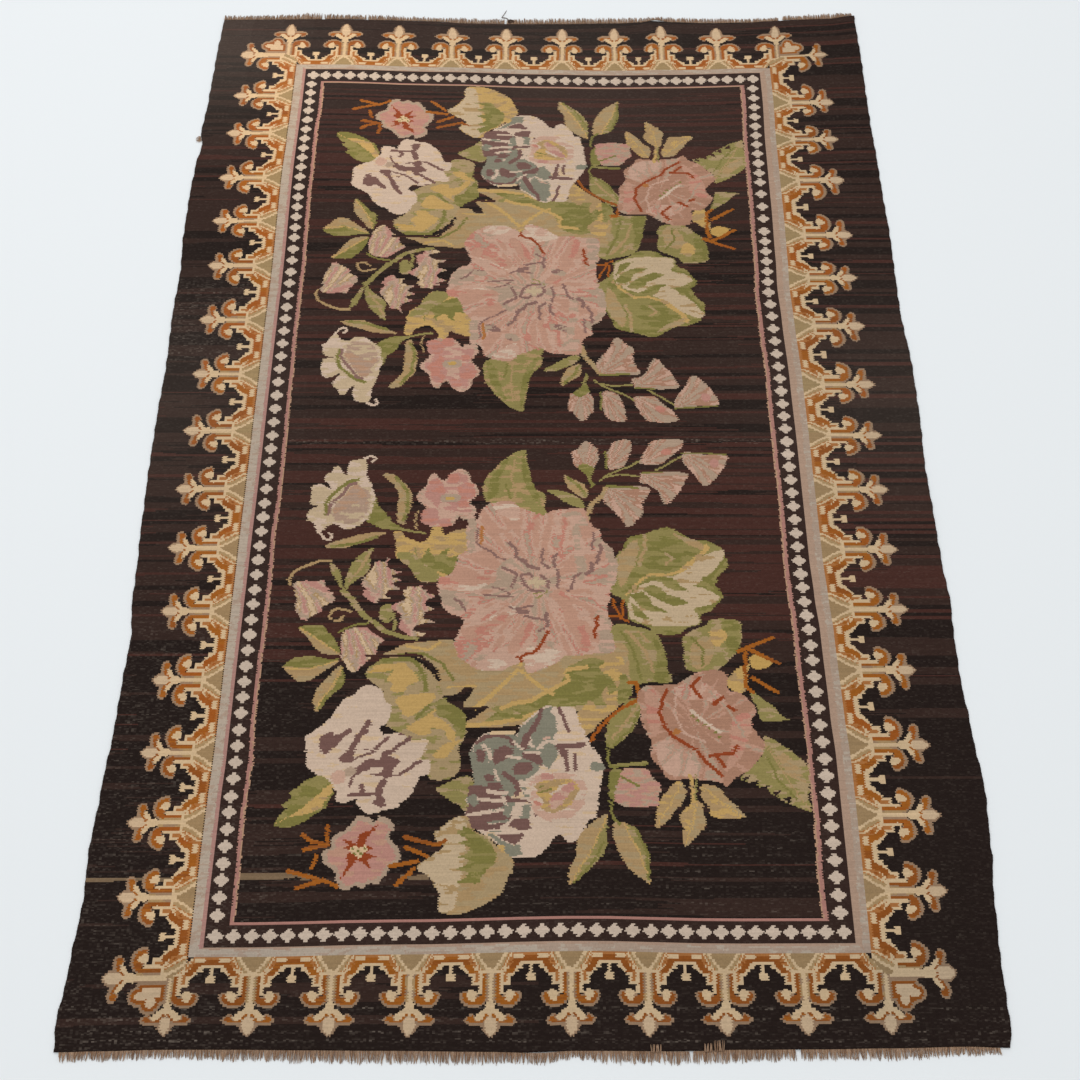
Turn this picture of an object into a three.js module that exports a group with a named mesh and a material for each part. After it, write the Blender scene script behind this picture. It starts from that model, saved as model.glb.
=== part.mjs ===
// A flat-woven rose kilim lying open: one woven web between two selvedges, with the
// short cut warp ends left standing out of it at the head and at the foot.
// Millimetres. +X runs across the rug, +Y along it towards the head, +Z is up, and the
// origin is on the ground under the middle of the rug.
import * as THREE from "three";

// Driving dimensions
const CLOTH_WIDTH = 1896; // selvedge to selvedge, where neither strays
const CLOTH_LENGTH = 2922; // first pick to last pick, where neither end strays
const CLOTH_THICKNESS = 3; // weft-faced wool over a doubled warp
const PIECE_GAP = 0.4; // clear space between one piece and the next

const SELVEDGE_STEP = 20; // spacing of the points along a selvedge
const SELVEDGE_RIPPLE = 1.3; // height of the small waves that the wefts pull into a selvedge
const RIPPLE_LENGTHS = [67, 41]; // lengths of the two waves that make up that ripple

const BACKING_WIDTH = 4; // strip of packed picks that holds the roots of a fringe
const BACKING_HEIGHT = 2.6;
const LOCKS_PER_END = 146;
const LOCK_SHARE = 0.88; // share of its pitch that a lock fills at the root
const LOCK_UNEVEN = 2.4; // how much two neighbouring locks differ in length
const LOCK_LEAN = 2.2; // how far a tip leans to either side

// How far each selvedge lies outside its straight line, going from head to foot
const SELVEDGES = [
  { y: 1461, left: -12, right: -12 },
  { y: 1300, left: -6, right: -10 },
  { y: 1140, left: -3, right: -11 },
  { y: 1010, left: 4, right: -11 },
  { y: 960, left: -4, right: -9 },
  { y: 900, left: 5, right: -8 },
  { y: 780, left: 9, right: -7 },
  { y: 640, left: 9, right: -4 },
  { y: 500, left: 2, right: -6 },
  { y: 380, left: 5, right: -7 },
  { y: 200, left: 1, right: 2 },
  { y: 60, left: 4, right: 2 },
  { y: -100, left: 4, right: -4 },
  { y: -260, left: 1, right: -1 },
  { y: -380, left: -4, right: 1 },
  { y: -460, left: -5, right: 7 },
  { y: -560, left: -15, right: 3 },
  { y: -660, left: -11, right: 3 },
  { y: -780, left: -9, right: 10 },
  { y: -920, left: -1, right: 19 },
  { y: -1060, left: 5, right: 13 },
  { y: -1160, left: 1, right: 3 },
  { y: -1300, left: 9, right: -3 },
  { y: -1420, left: 18, right: -3 },
  { y: -1461, left: 12, right: -10 },
];

// At each end: how far the last pick lies outside its straight line, and how far the
// warp ends reach past it, going from left to right
const HEAD_END = [
  { x: -936, edge: 3, reach: 22 },
  { x: -740, edge: 5, reach: 25 },
  { x: -690, edge: 6, reach: 31 },
  { x: -560, edge: 6, reach: 24 },
  { x: -470, edge: 1, reach: 28 },
  { x: -380, edge: -2, reach: 23 },
  { x: -300, edge: -5, reach: 21 },
  { x: -230, edge: -13, reach: 28 },
  { x: -150, edge: -15, reach: 24 },
  { x: -60, edge: -17, reach: 28 },
  { x: 80, edge: -17, reach: 30 },
  { x: 200, edge: -14, reach: 29 },
  { x: 300, edge: -12, reach: 28 },
  { x: 345, edge: 2, reach: 15 },
  { x: 390, edge: -9, reach: 24 },
  { x: 500, edge: -14, reach: 26 },
  { x: 620, edge: -12, reach: 22 },
  { x: 680, edge: -6, reach: 18 },
  { x: 740, edge: 0, reach: 24 },
  { x: 860, edge: 4, reach: 26 },
  { x: 930, edge: 18, reach: 16 },
];
const FOOT_END = [
  { x: -952, edge: 5, reach: 21 },
  { x: -880, edge: 3, reach: 20 },
  { x: -740, edge: 0, reach: 19 },
  { x: -600, edge: 0, reach: 23 },
  { x: -480, edge: 1, reach: 26 },
  { x: -300, edge: 2, reach: 27 },
  { x: -100, edge: 4, reach: 26 },
  { x: 0, edge: 6, reach: 24 },
  { x: 70, edge: 2, reach: 17 },
  { x: 150, edge: 2, reach: 26 },
  { x: 280, edge: 3, reach: 27 },
  { x: 400, edge: 0, reach: 26 },
  { x: 560, edge: -1, reach: 22 },
  { x: 700, edge: -3, reach: 24 },
  { x: 860, edge: -6, reach: 19 },
  { x: 918, edge: -4, reach: 14 },
];

// Stretches of an end where the warp ends have worn away down to the last pick
const HEAD_BARE = [
  { from: -646, to: -636 },
  { from: -130, to: -102 },
  { from: 710, to: 722 },
];
const FOOT_BARE = [{ from: 512, to: 522 }];

// A lock from its root to its tip: share of its reach, share of its width, and height
const LOCK_SECTIONS = [
  { out: 0.55, width: 0.94, height: 2.2 },
  { out: 1, width: 0.62, height: 1.2 },
];

// The dark knotted tuft at the head, and the loose yarn that runs out of it: how far out
// and aside each section lies, its width and height, and how far it is turned in degrees
const KNOT_AT = -86;
const KNOT_SECTIONS = [
  { out: 12, aside: 0, width: 18, height: 5, turn: 0 },
  { out: 24, aside: -4, width: 7, height: 4, turn: 20 },
  { out: 29, aside: -14, width: 3, height: 3, turn: 85 },
  { out: 29, aside: -24, width: 3, height: 3, turn: 45 },
  { out: 44, aside: -19, width: 2.4, height: 2.6, turn: -15 },
  { out: 60, aside: -13, width: 1.6, height: 2, turn: -15 },
];

// The small tuft of broken weft at the left selvedge, by its two wisps
const TUFT_FROM = 980;
const TUFT_TO = 997;
const TUFT_WISPS = [
  {
    from: 983,
    to: 989,
    sections: [
      { out: 11, aside: 2, width: 5, height: 3, turn: -20 },
      { out: 24, aside: -9, width: 1.8, height: 1.6, turn: -40 },
    ],
  },
  {
    from: 991,
    to: 994.5,
    sections: [
      { out: 9, aside: 2, width: 2.4, height: 2.2, turn: 0 },
      { out: 15, aside: 9, width: 1.4, height: 1.4, turn: 30 },
    ],
  },
];

// Value of one column of a table at a place, easing from each row to the next
function along(rows, place, column, at) {
  const rising = rows[0][place] < rows[rows.length - 1][place];
  const ordered = rising ? rows : [...rows].reverse();
  if (at <= ordered[0][place]) return ordered[0][column];
  for (let i = 1; i < ordered.length; i++) {
    const low = ordered[i - 1];
    const high = ordered[i];
    if (at <= high[place]) {
      const share = (at - low[place]) / (high[place] - low[place]);
      return low[column] + (high[column] - low[column]) * THREE.MathUtils.smoothstep(share, 0, 1);
    }
  }
  return ordered[ordered.length - 1][column];
}

// Small waves along a selvedge
function ripple(y, phase) {
  const waves = RIPPLE_LENGTHS.map((length) => Math.sin((2 * Math.PI * y) / length + phase));
  return (SELVEDGE_RIPPLE * waves.reduce((sum, wave) => sum + wave, 0)) / waves.length;
}

function leftSelvedge(y) {
  return -CLOTH_WIDTH / 2 - along(SELVEDGES, "y", "left", y) - ripple(y, 0);
}

function rightSelvedge(y) {
  return CLOTH_WIDTH / 2 + along(SELVEDGES, "y", "right", y) + ripple(y, 2);
}

// An end of the web: its fringe's pitch, and its last pick as straight runs between the
// roots of neighbouring locks, so that web and backing follow the same line
function wovenEnd(rows) {
  const from = rows[0].x;
  const to = rows[rows.length - 1].x;
  const pitch = (to - from) / LOCKS_PER_END;
  const stations = Array.from({ length: LOCKS_PER_END + 1 }, (_, k) => from + k * pitch);
  const offsets = stations.map((x) => along(rows, "x", "edge", x));
  const edge = (x) => {
    const k = THREE.MathUtils.clamp(Math.floor((x - from) / pitch), 0, LOCKS_PER_END - 1);
    const share = (x - stations[k]) / pitch;
    return CLOTH_LENGTH / 2 + offsets[k] * (1 - share) + offsets[k + 1] * share;
  };
  return { rows, stations, pitch, edge };
}

// The web, one flat sheet cut to the rug's own uneven outline
function clothGeometry(head, foot) {
  const steps = Math.round(CLOTH_LENGTH / SELVEDGE_STEP);
  const heights = Array.from({ length: steps + 1 }, (_, k) => CLOTH_LENGTH * (k / steps - 0.5));
  const outline = [];
  for (const y of heights) outline.push(new THREE.Vector2(rightSelvedge(y), y));
  for (const x of [...head.stations].reverse()) outline.push(new THREE.Vector2(x, head.edge(x)));
  for (const y of [...heights].reverse()) outline.push(new THREE.Vector2(leftSelvedge(y), y));
  for (const x of foot.stations) outline.push(new THREE.Vector2(x, -foot.edge(x)));
  return new THREE.ExtrudeGeometry(new THREE.Shape(outline), {
    depth: CLOTH_THICKNESS,
    bevelEnabled: false,
  });
}

// One closed comb: a backing strip along a line, with locks standing out of it.
// place(run, out) gives the point at a distance along the line and out from it, and each
// lock has from and to along the line and a list of sections
function combGeometry(place, start, end, locks) {
  const positions = [];
  const faces = [];
  const corner = (run, out, z) => {
    const [x, y] = place(run, out);
    return positions.push(x, y, z) / 3 - 1;
  };
  const quad = (a, b, c, d) => faces.push(a, b, c, a, c, d);
  const backingSection = (run) => [
    corner(run, 0, 0),
    corner(run, BACKING_WIDTH, 0),
    corner(run, BACKING_WIDTH, BACKING_HEIGHT),
    corner(run, 0, BACKING_HEIGHT),
  ];
  const lockSection = (lock, section) => {
    const turn = THREE.MathUtils.degToRad(section.turn ?? 0);
    const middle = (lock.from + lock.to) / 2 + section.aside;
    const side = (section.width / 2) * Math.cos(turn);
    const rise = (section.width / 2) * Math.sin(turn);
    const out = BACKING_WIDTH + section.out;
    return [
      corner(middle - side, out - rise, 0),
      corner(middle + side, out + rise, 0),
      corner(middle + side, out + rise, section.height),
      corner(middle - side, out - rise, section.height),
    ];
  };
  const growLock = (lock, root) => {
    let last = root;
    for (const section of lock.sections) {
      const next = lockSection(lock, section);
      for (let i = 0; i < 4; i++) {
        const j = (i + 1) % 4;
        quad(last[j], last[i], next[i], next[j]);
      }
      last = next;
    }
    quad(last[3], last[2], last[1], last[0]);
  };

  const stops = [{ run: start }];
  for (const lock of locks) stops.push({ run: lock.from, lock }, { run: lock.to });
  stops.push({ run: end });
  let here = backingSection(stops[0].run);
  quad(here[0], here[3], here[2], here[1]);
  for (let k = 1; k < stops.length; k++) {
    const next = backingSection(stops[k].run);
    quad(here[1], next[1], next[0], here[0]);
    quad(here[3], next[3], next[2], here[2]);
    quad(here[0], next[0], next[3], here[3]);
    const lock = stops[k - 1].lock;
    if (lock) growLock(lock, [here[1], next[1], next[2], here[2]]);
    else quad(here[2], next[2], next[1], here[1]);
    here = next;
  }
  quad(here[0], here[1], here[2], here[3]);

  const geometry = new THREE.BufferGeometry();
  geometry.setAttribute("position", new THREE.Float32BufferAttribute(positions, 3));
  geometry.setIndex(faces);
  geometry.computeVertexNormals();
  return geometry;
}

// A repeatable uneven value from -1 to 1 for the lock with this number
function uneven(number, salt) {
  const wave = Math.sin(number * 12.9898 + salt * 78.233) * 43758.5453;
  return 2 * (wave - Math.floor(wave)) - 1;
}

// The row of locks along one end, without those that fall in a bare stretch
function lockRow(end, bare, salt) {
  const locks = [];
  for (let k = 0; k < LOCKS_PER_END; k++) {
    const from = end.stations[k] + ((1 - LOCK_SHARE) / 2) * end.pitch;
    const to = from + LOCK_SHARE * end.pitch;
    const middle = (from + to) / 2;
    if (bare.some((stretch) => to > stretch.from && from < stretch.to)) continue;
    const reach = along(end.rows, "x", "reach", middle) - BACKING_WIDTH - PIECE_GAP;
    const length = reach + (LOCK_UNEVEN / 2) * uneven(k, salt);
    const lean = LOCK_LEAN * uneven(k, salt + 1);
    const sections = LOCK_SECTIONS.map((section) => ({
      out: length * section.out,
      aside: lean * section.out,
      width: (to - from) * section.width,
      height: section.height,
    }));
    locks.push({ from, to, sections });
  }
  return locks;
}

// The lock nearest the knot gives way to the knotted tuft and its loose yarn
function withKnot(locks) {
  const middle = (lock) => (lock.from + lock.to) / 2;
  const distance = (lock) => Math.abs(middle(lock) - KNOT_AT);
  const nearest = locks.reduce((best, lock) => (distance(lock) < distance(best) ? lock : best));
  const next = locks[locks.indexOf(nearest) + 1];
  return locks
    .filter((lock) => lock !== next)
    .map((lock) => (lock === nearest ? { ...lock, sections: KNOT_SECTIONS } : lock));
}

function piece(name, geometry, color, roughness) {
  const material = new THREE.MeshStandardMaterial({ color, roughness, metalness: 0 });
  const mesh = new THREE.Mesh(geometry, material);
  mesh.name = name;
  return mesh;
}

const head = wovenEnd(HEAD_END);
const foot = wovenEnd(FOOT_END);

const headPlace = (run, out) => [run, head.edge(run) + PIECE_GAP + out];
const footPlace = (run, out) => [-run, -foot.edge(-run) - PIECE_GAP - out];

// The tuft's backing stands clear of the furthest point of the selvedge beside it
const besideTuft = [TUFT_FROM, (TUFT_FROM + TUFT_TO) / 2, TUFT_TO].map(leftSelvedge);
const tuftLine = Math.min(...besideTuft) - PIECE_GAP;
const tuftPlace = (run, out) => [tuftLine - out, run];

const headLocks = withKnot(lockRow(head, HEAD_BARE, 1));
const footLocks = lockRow(foot, FOOT_BARE, 5)
  .reverse()
  .map((lock) => ({ from: -lock.to, to: -lock.from, sections: lock.sections }));

const group = new THREE.Group();
group.add(piece("kilim_cloth", clothGeometry(head, foot), 0x2a1f1d, 0.92));
group.add(
  piece(
    "fringe_head",
    combGeometry(headPlace, head.stations[0], head.stations[LOCKS_PER_END], headLocks),
    0x8f7a6d,
    0.95,
  ),
);
group.add(
  piece(
    "fringe_foot",
    combGeometry(footPlace, -foot.stations[LOCKS_PER_END], -foot.stations[0], footLocks),
    0x9a8577,
    0.95,
  ),
);
group.add(
  piece("side_tuft", combGeometry(tuftPlace, TUFT_FROM, TUFT_TO, TUFT_WISPS), 0x3a2f2c, 0.95),
);

export default group;
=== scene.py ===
"""A flat-woven rose kilim lying open on a pale studio floor, dressed over its CAD frame.

+X runs across the rug, +Y along it towards the head, +Z is up, and the origin is on the
ground under the middle of the rug. Sizes are in millimetres, and meshes in metres.
"""

import logging
import math
from dataclasses import dataclass, field
from enum import Enum, IntEnum
from functools import lru_cache
from typing import ClassVar

import bpy
import numpy as np
from bpy.types import Material, Node, NodeSocket, NodeTree, Object
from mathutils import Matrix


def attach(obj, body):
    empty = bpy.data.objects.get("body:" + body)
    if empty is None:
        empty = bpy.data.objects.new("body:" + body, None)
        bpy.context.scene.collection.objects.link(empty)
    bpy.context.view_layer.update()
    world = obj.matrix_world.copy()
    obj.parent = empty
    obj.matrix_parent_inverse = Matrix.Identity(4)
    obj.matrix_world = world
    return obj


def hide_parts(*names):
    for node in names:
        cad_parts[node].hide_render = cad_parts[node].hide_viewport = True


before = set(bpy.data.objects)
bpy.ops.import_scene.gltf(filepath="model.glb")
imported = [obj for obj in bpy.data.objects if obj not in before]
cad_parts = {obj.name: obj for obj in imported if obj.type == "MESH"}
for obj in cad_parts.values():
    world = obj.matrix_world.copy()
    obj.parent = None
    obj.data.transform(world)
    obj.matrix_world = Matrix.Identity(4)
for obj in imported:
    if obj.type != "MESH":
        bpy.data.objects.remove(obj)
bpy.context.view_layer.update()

MM = 0.001
LOG = logging.getLogger("kilim")

Array = np.ndarray
Sizes = tuple[float, ...]
Point = tuple[float, float]
# Two numbers that belong together: a range, a size, or a value on each of two sides
Pair = tuple[float, float]
# Places written as "x,y x,y ...": an outline, a line, or a table of places and values
Route = str


def linear(hex_colour: str) -> tuple[float, float, float, float]:
    """Turn an sRGB hex colour into linear light.

    Args:
        hex_colour: The colour as six hex digits after a hash.

    Returns:
        Linear red, green, blue, and an alpha of one.
    """
    parts = [int(hex_colour[i : i + 2], 16) / 255 for i in (1, 3, 5)]
    lit = [c / 12.92 if c <= 0.04045 else ((c + 0.055) / 1.055) ** 2.4 for c in parts]
    return (lit[0], lit[1], lit[2], 1.0)


class Yarn(IntEnum):
    """The wools on the weaver's bobbins."""

    SOOT = 0
    UMBER = 1
    MADDER = 2
    SHELL = 3
    SHELL_DARK = 4
    SHELL_PINK = 5
    STAR = 6
    LINE_PINK = 7
    LINE_PEACH = 8
    OLIVE = 9
    RUST_GOLD = 10
    APRICOT = 11
    CREAM = 12
    BUD = 13
    TAUPE = 14
    FAWN = 15
    TAN = 16
    GOLD = 17
    SAGE = 18
    GREEN = 19
    IVORY = 20
    ROSE = 21
    BLUSH = 22
    SALMON = 23
    GREIGE = 24
    MAUVE = 25
    PETAL = 26
    PLUM = 27
    SLATE = 28
    FLAME = 29
    PINK = 30
    STRAW = 31
    STRAY = 32
    SHELL_WARM = 33
    RUST_BROWN = 34
    RUST_RED = 35
    OLIVE_BROWN = 36
    DUSK = 37
    SAND = 38


DYES = {
    Yarn.SOOT: "#221916",
    Yarn.UMBER: "#33241f",
    Yarn.MADDER: "#432822",
    Yarn.SHELL: "#ad9d8c",
    Yarn.SHELL_DARK: "#a6907e",
    Yarn.SHELL_PINK: "#a57c72",
    Yarn.SHELL_WARM: "#a68a76",
    Yarn.STAR: "#c0ad9b",
    Yarn.LINE_PINK: "#a3756a",
    Yarn.LINE_PEACH: "#ac886e",
    Yarn.OLIVE: "#99805a",
    Yarn.OLIVE_BROWN: "#997d59",
    Yarn.RUST_GOLD: "#9a591e",
    Yarn.RUST_BROWN: "#8c4e1e",
    Yarn.RUST_RED: "#99531e",
    Yarn.APRICOT: "#a56b3b",
    Yarn.CREAM: "#cbae88",
    Yarn.BUD: "#c5a988",
    Yarn.TAUPE: "#96795f",
    Yarn.FAWN: "#a5875f",
    Yarn.TAN: "#a4875f",
    Yarn.GOLD: "#b8965c",
    Yarn.SAGE: "#8a7e4c",
    Yarn.GREEN: "#78713c",
    Yarn.IVORY: "#b9a283",
    Yarn.ROSE: "#b38974",
    Yarn.BLUSH: "#bb9783",
    Yarn.SALMON: "#b47a69",
    Yarn.GREIGE: "#a68e79",
    Yarn.MAUVE: "#83635a",
    Yarn.PETAL: "#c4ac97",
    Yarn.PLUM: "#70524b",
    Yarn.SLATE: "#7f7b6a",
    Yarn.FLAME: "#8b3f20",
    Yarn.DUSK: "#a27963",
    Yarn.SAND: "#a18a66",
    Yarn.PINK: "#b08073",
    Yarn.STRAW: "#b89454",
    Yarn.STRAY: "#77624b",
}


@lru_cache(maxsize=None)
def read(route: Route) -> Array:
    """Read places written as text into an array with one row for each."""
    return np.array([[float(v) for v in place.split(",")] for place in route.split()])


def ease(rows: Route, at: Array) -> Array:
    """Read a table of places and values, easing from each row to the next.

    Args:
        rows: Places in rising order, each with its value.
        at: Places to read.

    Returns:
        The values there, level beyond both ends.
    """
    place, value = read(rows).T
    at = np.clip(at, place[0], place[-1])
    k = np.clip(np.searchsorted(place, at, side="right") - 1, 0, len(place) - 2)
    share = (at - place[k]) / (place[k + 1] - place[k])
    share = share * share * (3 - 2 * share)
    return value[k] + (value[k + 1] - value[k]) * share


def smooth_closed(p: Array, steps: int = 5) -> Array:
    """Run a smooth closed curve through a few points.

    Args:
        p: The points, in order.
        steps: Short chords from each point to the next.

    Returns:
        The curve's points, one per row.
    """
    before, after, beyond = np.roll(p, 1, 0), np.roll(p, -1, 0), np.roll(p, -2, 0)
    out = []
    for t in np.arange(steps) / steps:
        flat = 2 * p + (after - before) * t
        bend = (2 * before - 5 * p + 4 * after - beyond) * t * t
        out.append(0.5 * (flat + bend + (3 * p - before - 3 * after + beyond) * t**3))
    return np.stack(out, 1).reshape(-1, 2)


@dataclass(frozen=True)
class Web:
    """The woven web: its sizes, and how its lines stray from a straight rectangle.

    The draft is woven on straight nominal lines, and place() gives where a nominal point
    of it really lies. The selvedges and the last picks repeat the lines of the CAD cloth.
    """

    width: float = 1896
    length: float = 2922
    thickness: float = 3
    columns: int = 665
    picks: int = 1024
    ripple: float = 1.3
    ripple_lengths: Pair = (67, 41)
    weft_loop: float = 0.8
    cockle: float = 2.2
    locks_per_end: int = 146
    left_line: float = 683
    right_line: float = 641
    head_line: float = 1240
    foot_line: float = 1252

    # How far each selvedge lies outside its straight line, from foot to head
    left_stray: Route = (
        "-1461,12 -1420,18 -1300,9 -1160,1 -1060,5 -920,-1 -780,-9 -660,-11 -560,-15 -460,-5 -380,-4 -260,1 "
        "-100,4 60,4 200,1 380,5 500,2 640,9 780,9 900,5 960,-4 1010,4 1140,-3 1300,-6 1461,-12"
    )
    right_stray: Route = (
        "-1461,-10 -1420,-3 -1300,-3 -1160,3 -1060,13 -920,19 -780,10 -660,3 -560,3 -460,7 -380,1 -260,-1 "
        "-100,-4 60,2 200,2 380,-7 500,-6 640,-4 780,-7 900,-8 960,-9 1010,-11 1140,-11 1300,-10 1461,-12"
    )

    # How far the last pick of each end lies outside its straight line, from left to right
    head_stray: Route = (
        "-936,3 -740,5 -690,6 -560,6 -470,1 -380,-2 -300,-5 -230,-13 -150,-15 -60,-17 80,-17 200,-14 "
        "300,-12 345,2 390,-9 500,-14 620,-12 680,-6 740,0 860,4 930,18"
    )
    foot_stray: Route = (
        "-952,5 -880,3 -740,0 -600,0 -480,1 -300,2 -100,4 0,6 70,2 150,2 280,3 400,0 560,-1 700,-3 860,-6 "
        "918,-4"
    )

    # The shell band's inner line on each side of the rug, measured from the middle
    left_band: Route = (
        "-1150,687 -950,686 -850,683.5 -650,683.5 -350,682 -50,680 150,680 550,678 850,681 "
        "1150,676.5"
    )
    right_band: Route = (
        "-1150,653.5 -850,653.5 -750,650 -550,647 -450,642 -350,639 -50,638 150,636 350,631 "
        "450,628 550,631 750,634 950,635 1150,640"
    )
    head_band: Route = (
        "-940,1262 -600,1257 -300,1246 0,1234 200,1230 400,1232 640,1240 940,1252"
    )
    foot_band: Route = "-940,1262 -600,1260 -300,1254 100,1246 400,1252 940,1250"

    def selvedge(self, side: int, y: Array) -> Array:
        """Give the x of a selvedge.

        Args:
            side: -1 for the left selvedge, 1 for the right one.
            y: Places along the rug.

        Returns:
            The selvedge's x at each of them.
        """
        rows = self.left_stray if side < 0 else self.right_stray
        phase = 0 if side < 0 else 2
        waves = sum(np.sin(2 * math.pi * y / w + phase) for w in self.ripple_lengths)
        return side * (self.width / 2 + ease(rows, y) + self.ripple * waves / 2)

    def last_pick(self, end: int, x: Array) -> Array:
        """Give the y of the last pick, which runs straight from lock to lock as in CAD.

        Args:
            end: -1 for the foot, 1 for the head.
            x: Places across the rug.

        Returns:
            The last pick's y at each of them.
        """
        rows = self.foot_stray if end < 0 else self.head_stray
        place = read(rows)[:, 0]
        stations = np.linspace(place[0], place[-1], self.locks_per_end + 1)
        return end * (self.length / 2 + np.interp(x, stations, ease(rows, stations)))

    def place(self, x: Array, y: Array) -> tuple[Array, Array]:
        """Give the real place of nominal points of the draft.

        Args:
            x: Nominal x.
            y: Nominal y.

        Returns:
            Real x and real y.
        """
        calm = 500
        head_shift = ease(self.head_band, x) - self.head_line
        foot_shift = self.foot_line - ease(self.foot_band, x)
        head_end = self.last_pick(1, x) - self.length / 2
        foot_end = self.last_pick(-1, x) + self.length / 2

        def bend(at: Array, line: float, shift: Array, end: Array) -> Array:
            """Blend the shift in from the calm middle to the band and on to the end."""
            inner = np.clip((at - calm) / (line - calm), 0, 1)
            inner = inner * inner * (3 - 2 * inner)
            outer = np.clip((at - line) / (self.length / 2 - line), 0, 1)
            return shift * inner * (1 - outer) + end * outer

        real_y = (
            y
            + bend(y, self.head_line, head_shift, head_end)
            + bend(-y, self.foot_line, foot_shift, foot_end)
        )
        half = self.width / 2
        left, right = self.selvedge(-1, real_y), self.selvedge(1, real_y)
        left_line, right_line = -ease(self.left_band, real_y), ease(self.right_band, real_y)
        steady = 250

        def between(a: float, b: float, from_x: Array, to_x: Array) -> Array:
            """Stretch the strip of the draft from a to b between two real lines."""
            return from_x + (to_x - from_x) * (x - a) / (b - a)

        real_x = np.select(
            [x < -self.left_line, x < -steady, x < steady, x < self.right_line],
            [
                between(-half, -self.left_line, left, left_line),
                between(-self.left_line, -steady, left_line, -steady),
                x,
                between(steady, self.right_line, steady, right_line),
            ],
            between(self.right_line, half, right_line, right),
        )
        return real_x, real_y

    def height(self, x: Array, y: Array) -> Array:
        """Give how far the web stands off the floor where it cockles.

        Args:
            x: Real x.
            y: Real y.

        Returns:
            The clear height under the web.
        """
        # Three crossing trains of waves, 0.4 to 1.6 m long
        highest = 2.2
        waves = (
            np.sin(x / 171 + 1.3 * np.sin(y / 260)) * np.sin(y / 143 + 0.8)
            + 0.7 * np.sin(x / 83 - y / 210 + 2)
            + 0.5 * np.sin(y / 61 + x / 190)
        )
        return self.cockle * np.clip(0.5 + waves / (2 * highest), 0, 1)


WEB = Web()


class Rows:
    """Seeded noise over the draft, in streaks that run along the picks."""

    def __init__(self, seed: int) -> None:
        """Keep the seed that the next field is drawn from."""
        self.random = np.random.default_rng(seed)

    def streaks(self, length: float, height: float, soft: float = 0.0) -> Array:
        """Draw one field of streaks.

        Args:
            length: Usual length of a streak along a pick.
            height: Usual height of a streak.
            soft: Share of fine noise from crossing to crossing.

        Returns:
            Values spread evenly over 0 to 1, one per crossing.
        """
        rows = max(2, int(WEB.length / height))
        columns = max(2, int(WEB.width / length))
        knots = self.random.random((rows, columns))
        r = np.linspace(0, rows - 1.001, WEB.picks)
        c = np.linspace(0, columns - 1.001, WEB.columns)
        c = c[None, :] + self.random.random((WEB.picks, 1)) * 0.5
        c = np.clip(c, 0, columns - 1.001)
        r0, c0 = r.astype(int)[:, None], c.astype(int)
        fr, fc = (r - r.astype(int))[:, None], c - c0
        fr, fc = fr * fr * (3 - 2 * fr), fc * fc * (3 - 2 * fc)
        r1, c1 = r0 + 1, c0 + 1
        value = (knots[r0, c0] * (1 - fc) + knots[r0, c1] * fc) * (1 - fr)
        value += (knots[r1, c0] * (1 - fc) + knots[r1, c1] * fc) * fr
        value = value * (1 - soft) + soft * self.random.random(value.shape)
        order = np.argsort(np.argsort(value.ravel()))
        return (order / value.size).reshape(value.shape)


Mix = Yarn | tuple[tuple[Yarn, float], ...] | None


class Draft:
    """The weaver's draft: one wool for every crossing of pick and warp column."""

    def __init__(self) -> None:
        """Set out the crossings, with every one in the plain ground."""
        across, along = WEB.width / WEB.columns, WEB.length / WEB.picks
        nominal_x = (np.arange(WEB.columns) + 0.5) * across - WEB.width / 2
        nominal_y = (np.arange(WEB.picks) + 0.5) * along - WEB.length / 2
        self.nx, self.ny = np.meshgrid(nominal_x, nominal_y)
        self.x, self.y = WEB.place(self.nx, self.ny)
        self.yarn = np.full(self.x.shape, int(Yarn.UMBER), np.int16)
        self.wear = np.zeros(self.x.shape)
        # A pale haze for each crossing: dust, and painted sheen at the head
        self.dust_and_sheen = np.zeros(self.x.shape)
        # Painted light and shade on the light wools at each crossing
        self.painted_light = np.zeros(self.x.shape)
        noise = Rows(11)
        long_grain = noise.streaks(length=26, height=8, soft=0.08)
        self.grain = [long_grain, noise.streaks(length=15, height=5, soft=0.12)]
        # Every second pick reaches further over a steep edge, so it comes out as fine teeth
        tooth = np.where(np.arange(WEB.picks) % 2 == 0, 1.0, -1.0)[:, None]
        sway = noise.streaks(length=60, height=22) - 0.5
        self.toothed_x = self.x + tooth + 2.0 * sway
        self.toothed_nx = self.nx + tooth
        self.toothed_y = self.y + 2.0 * (noise.streaks(length=40, height=30) - 0.5)
        self.lot = noise.streaks(length=260, height=110)


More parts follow.
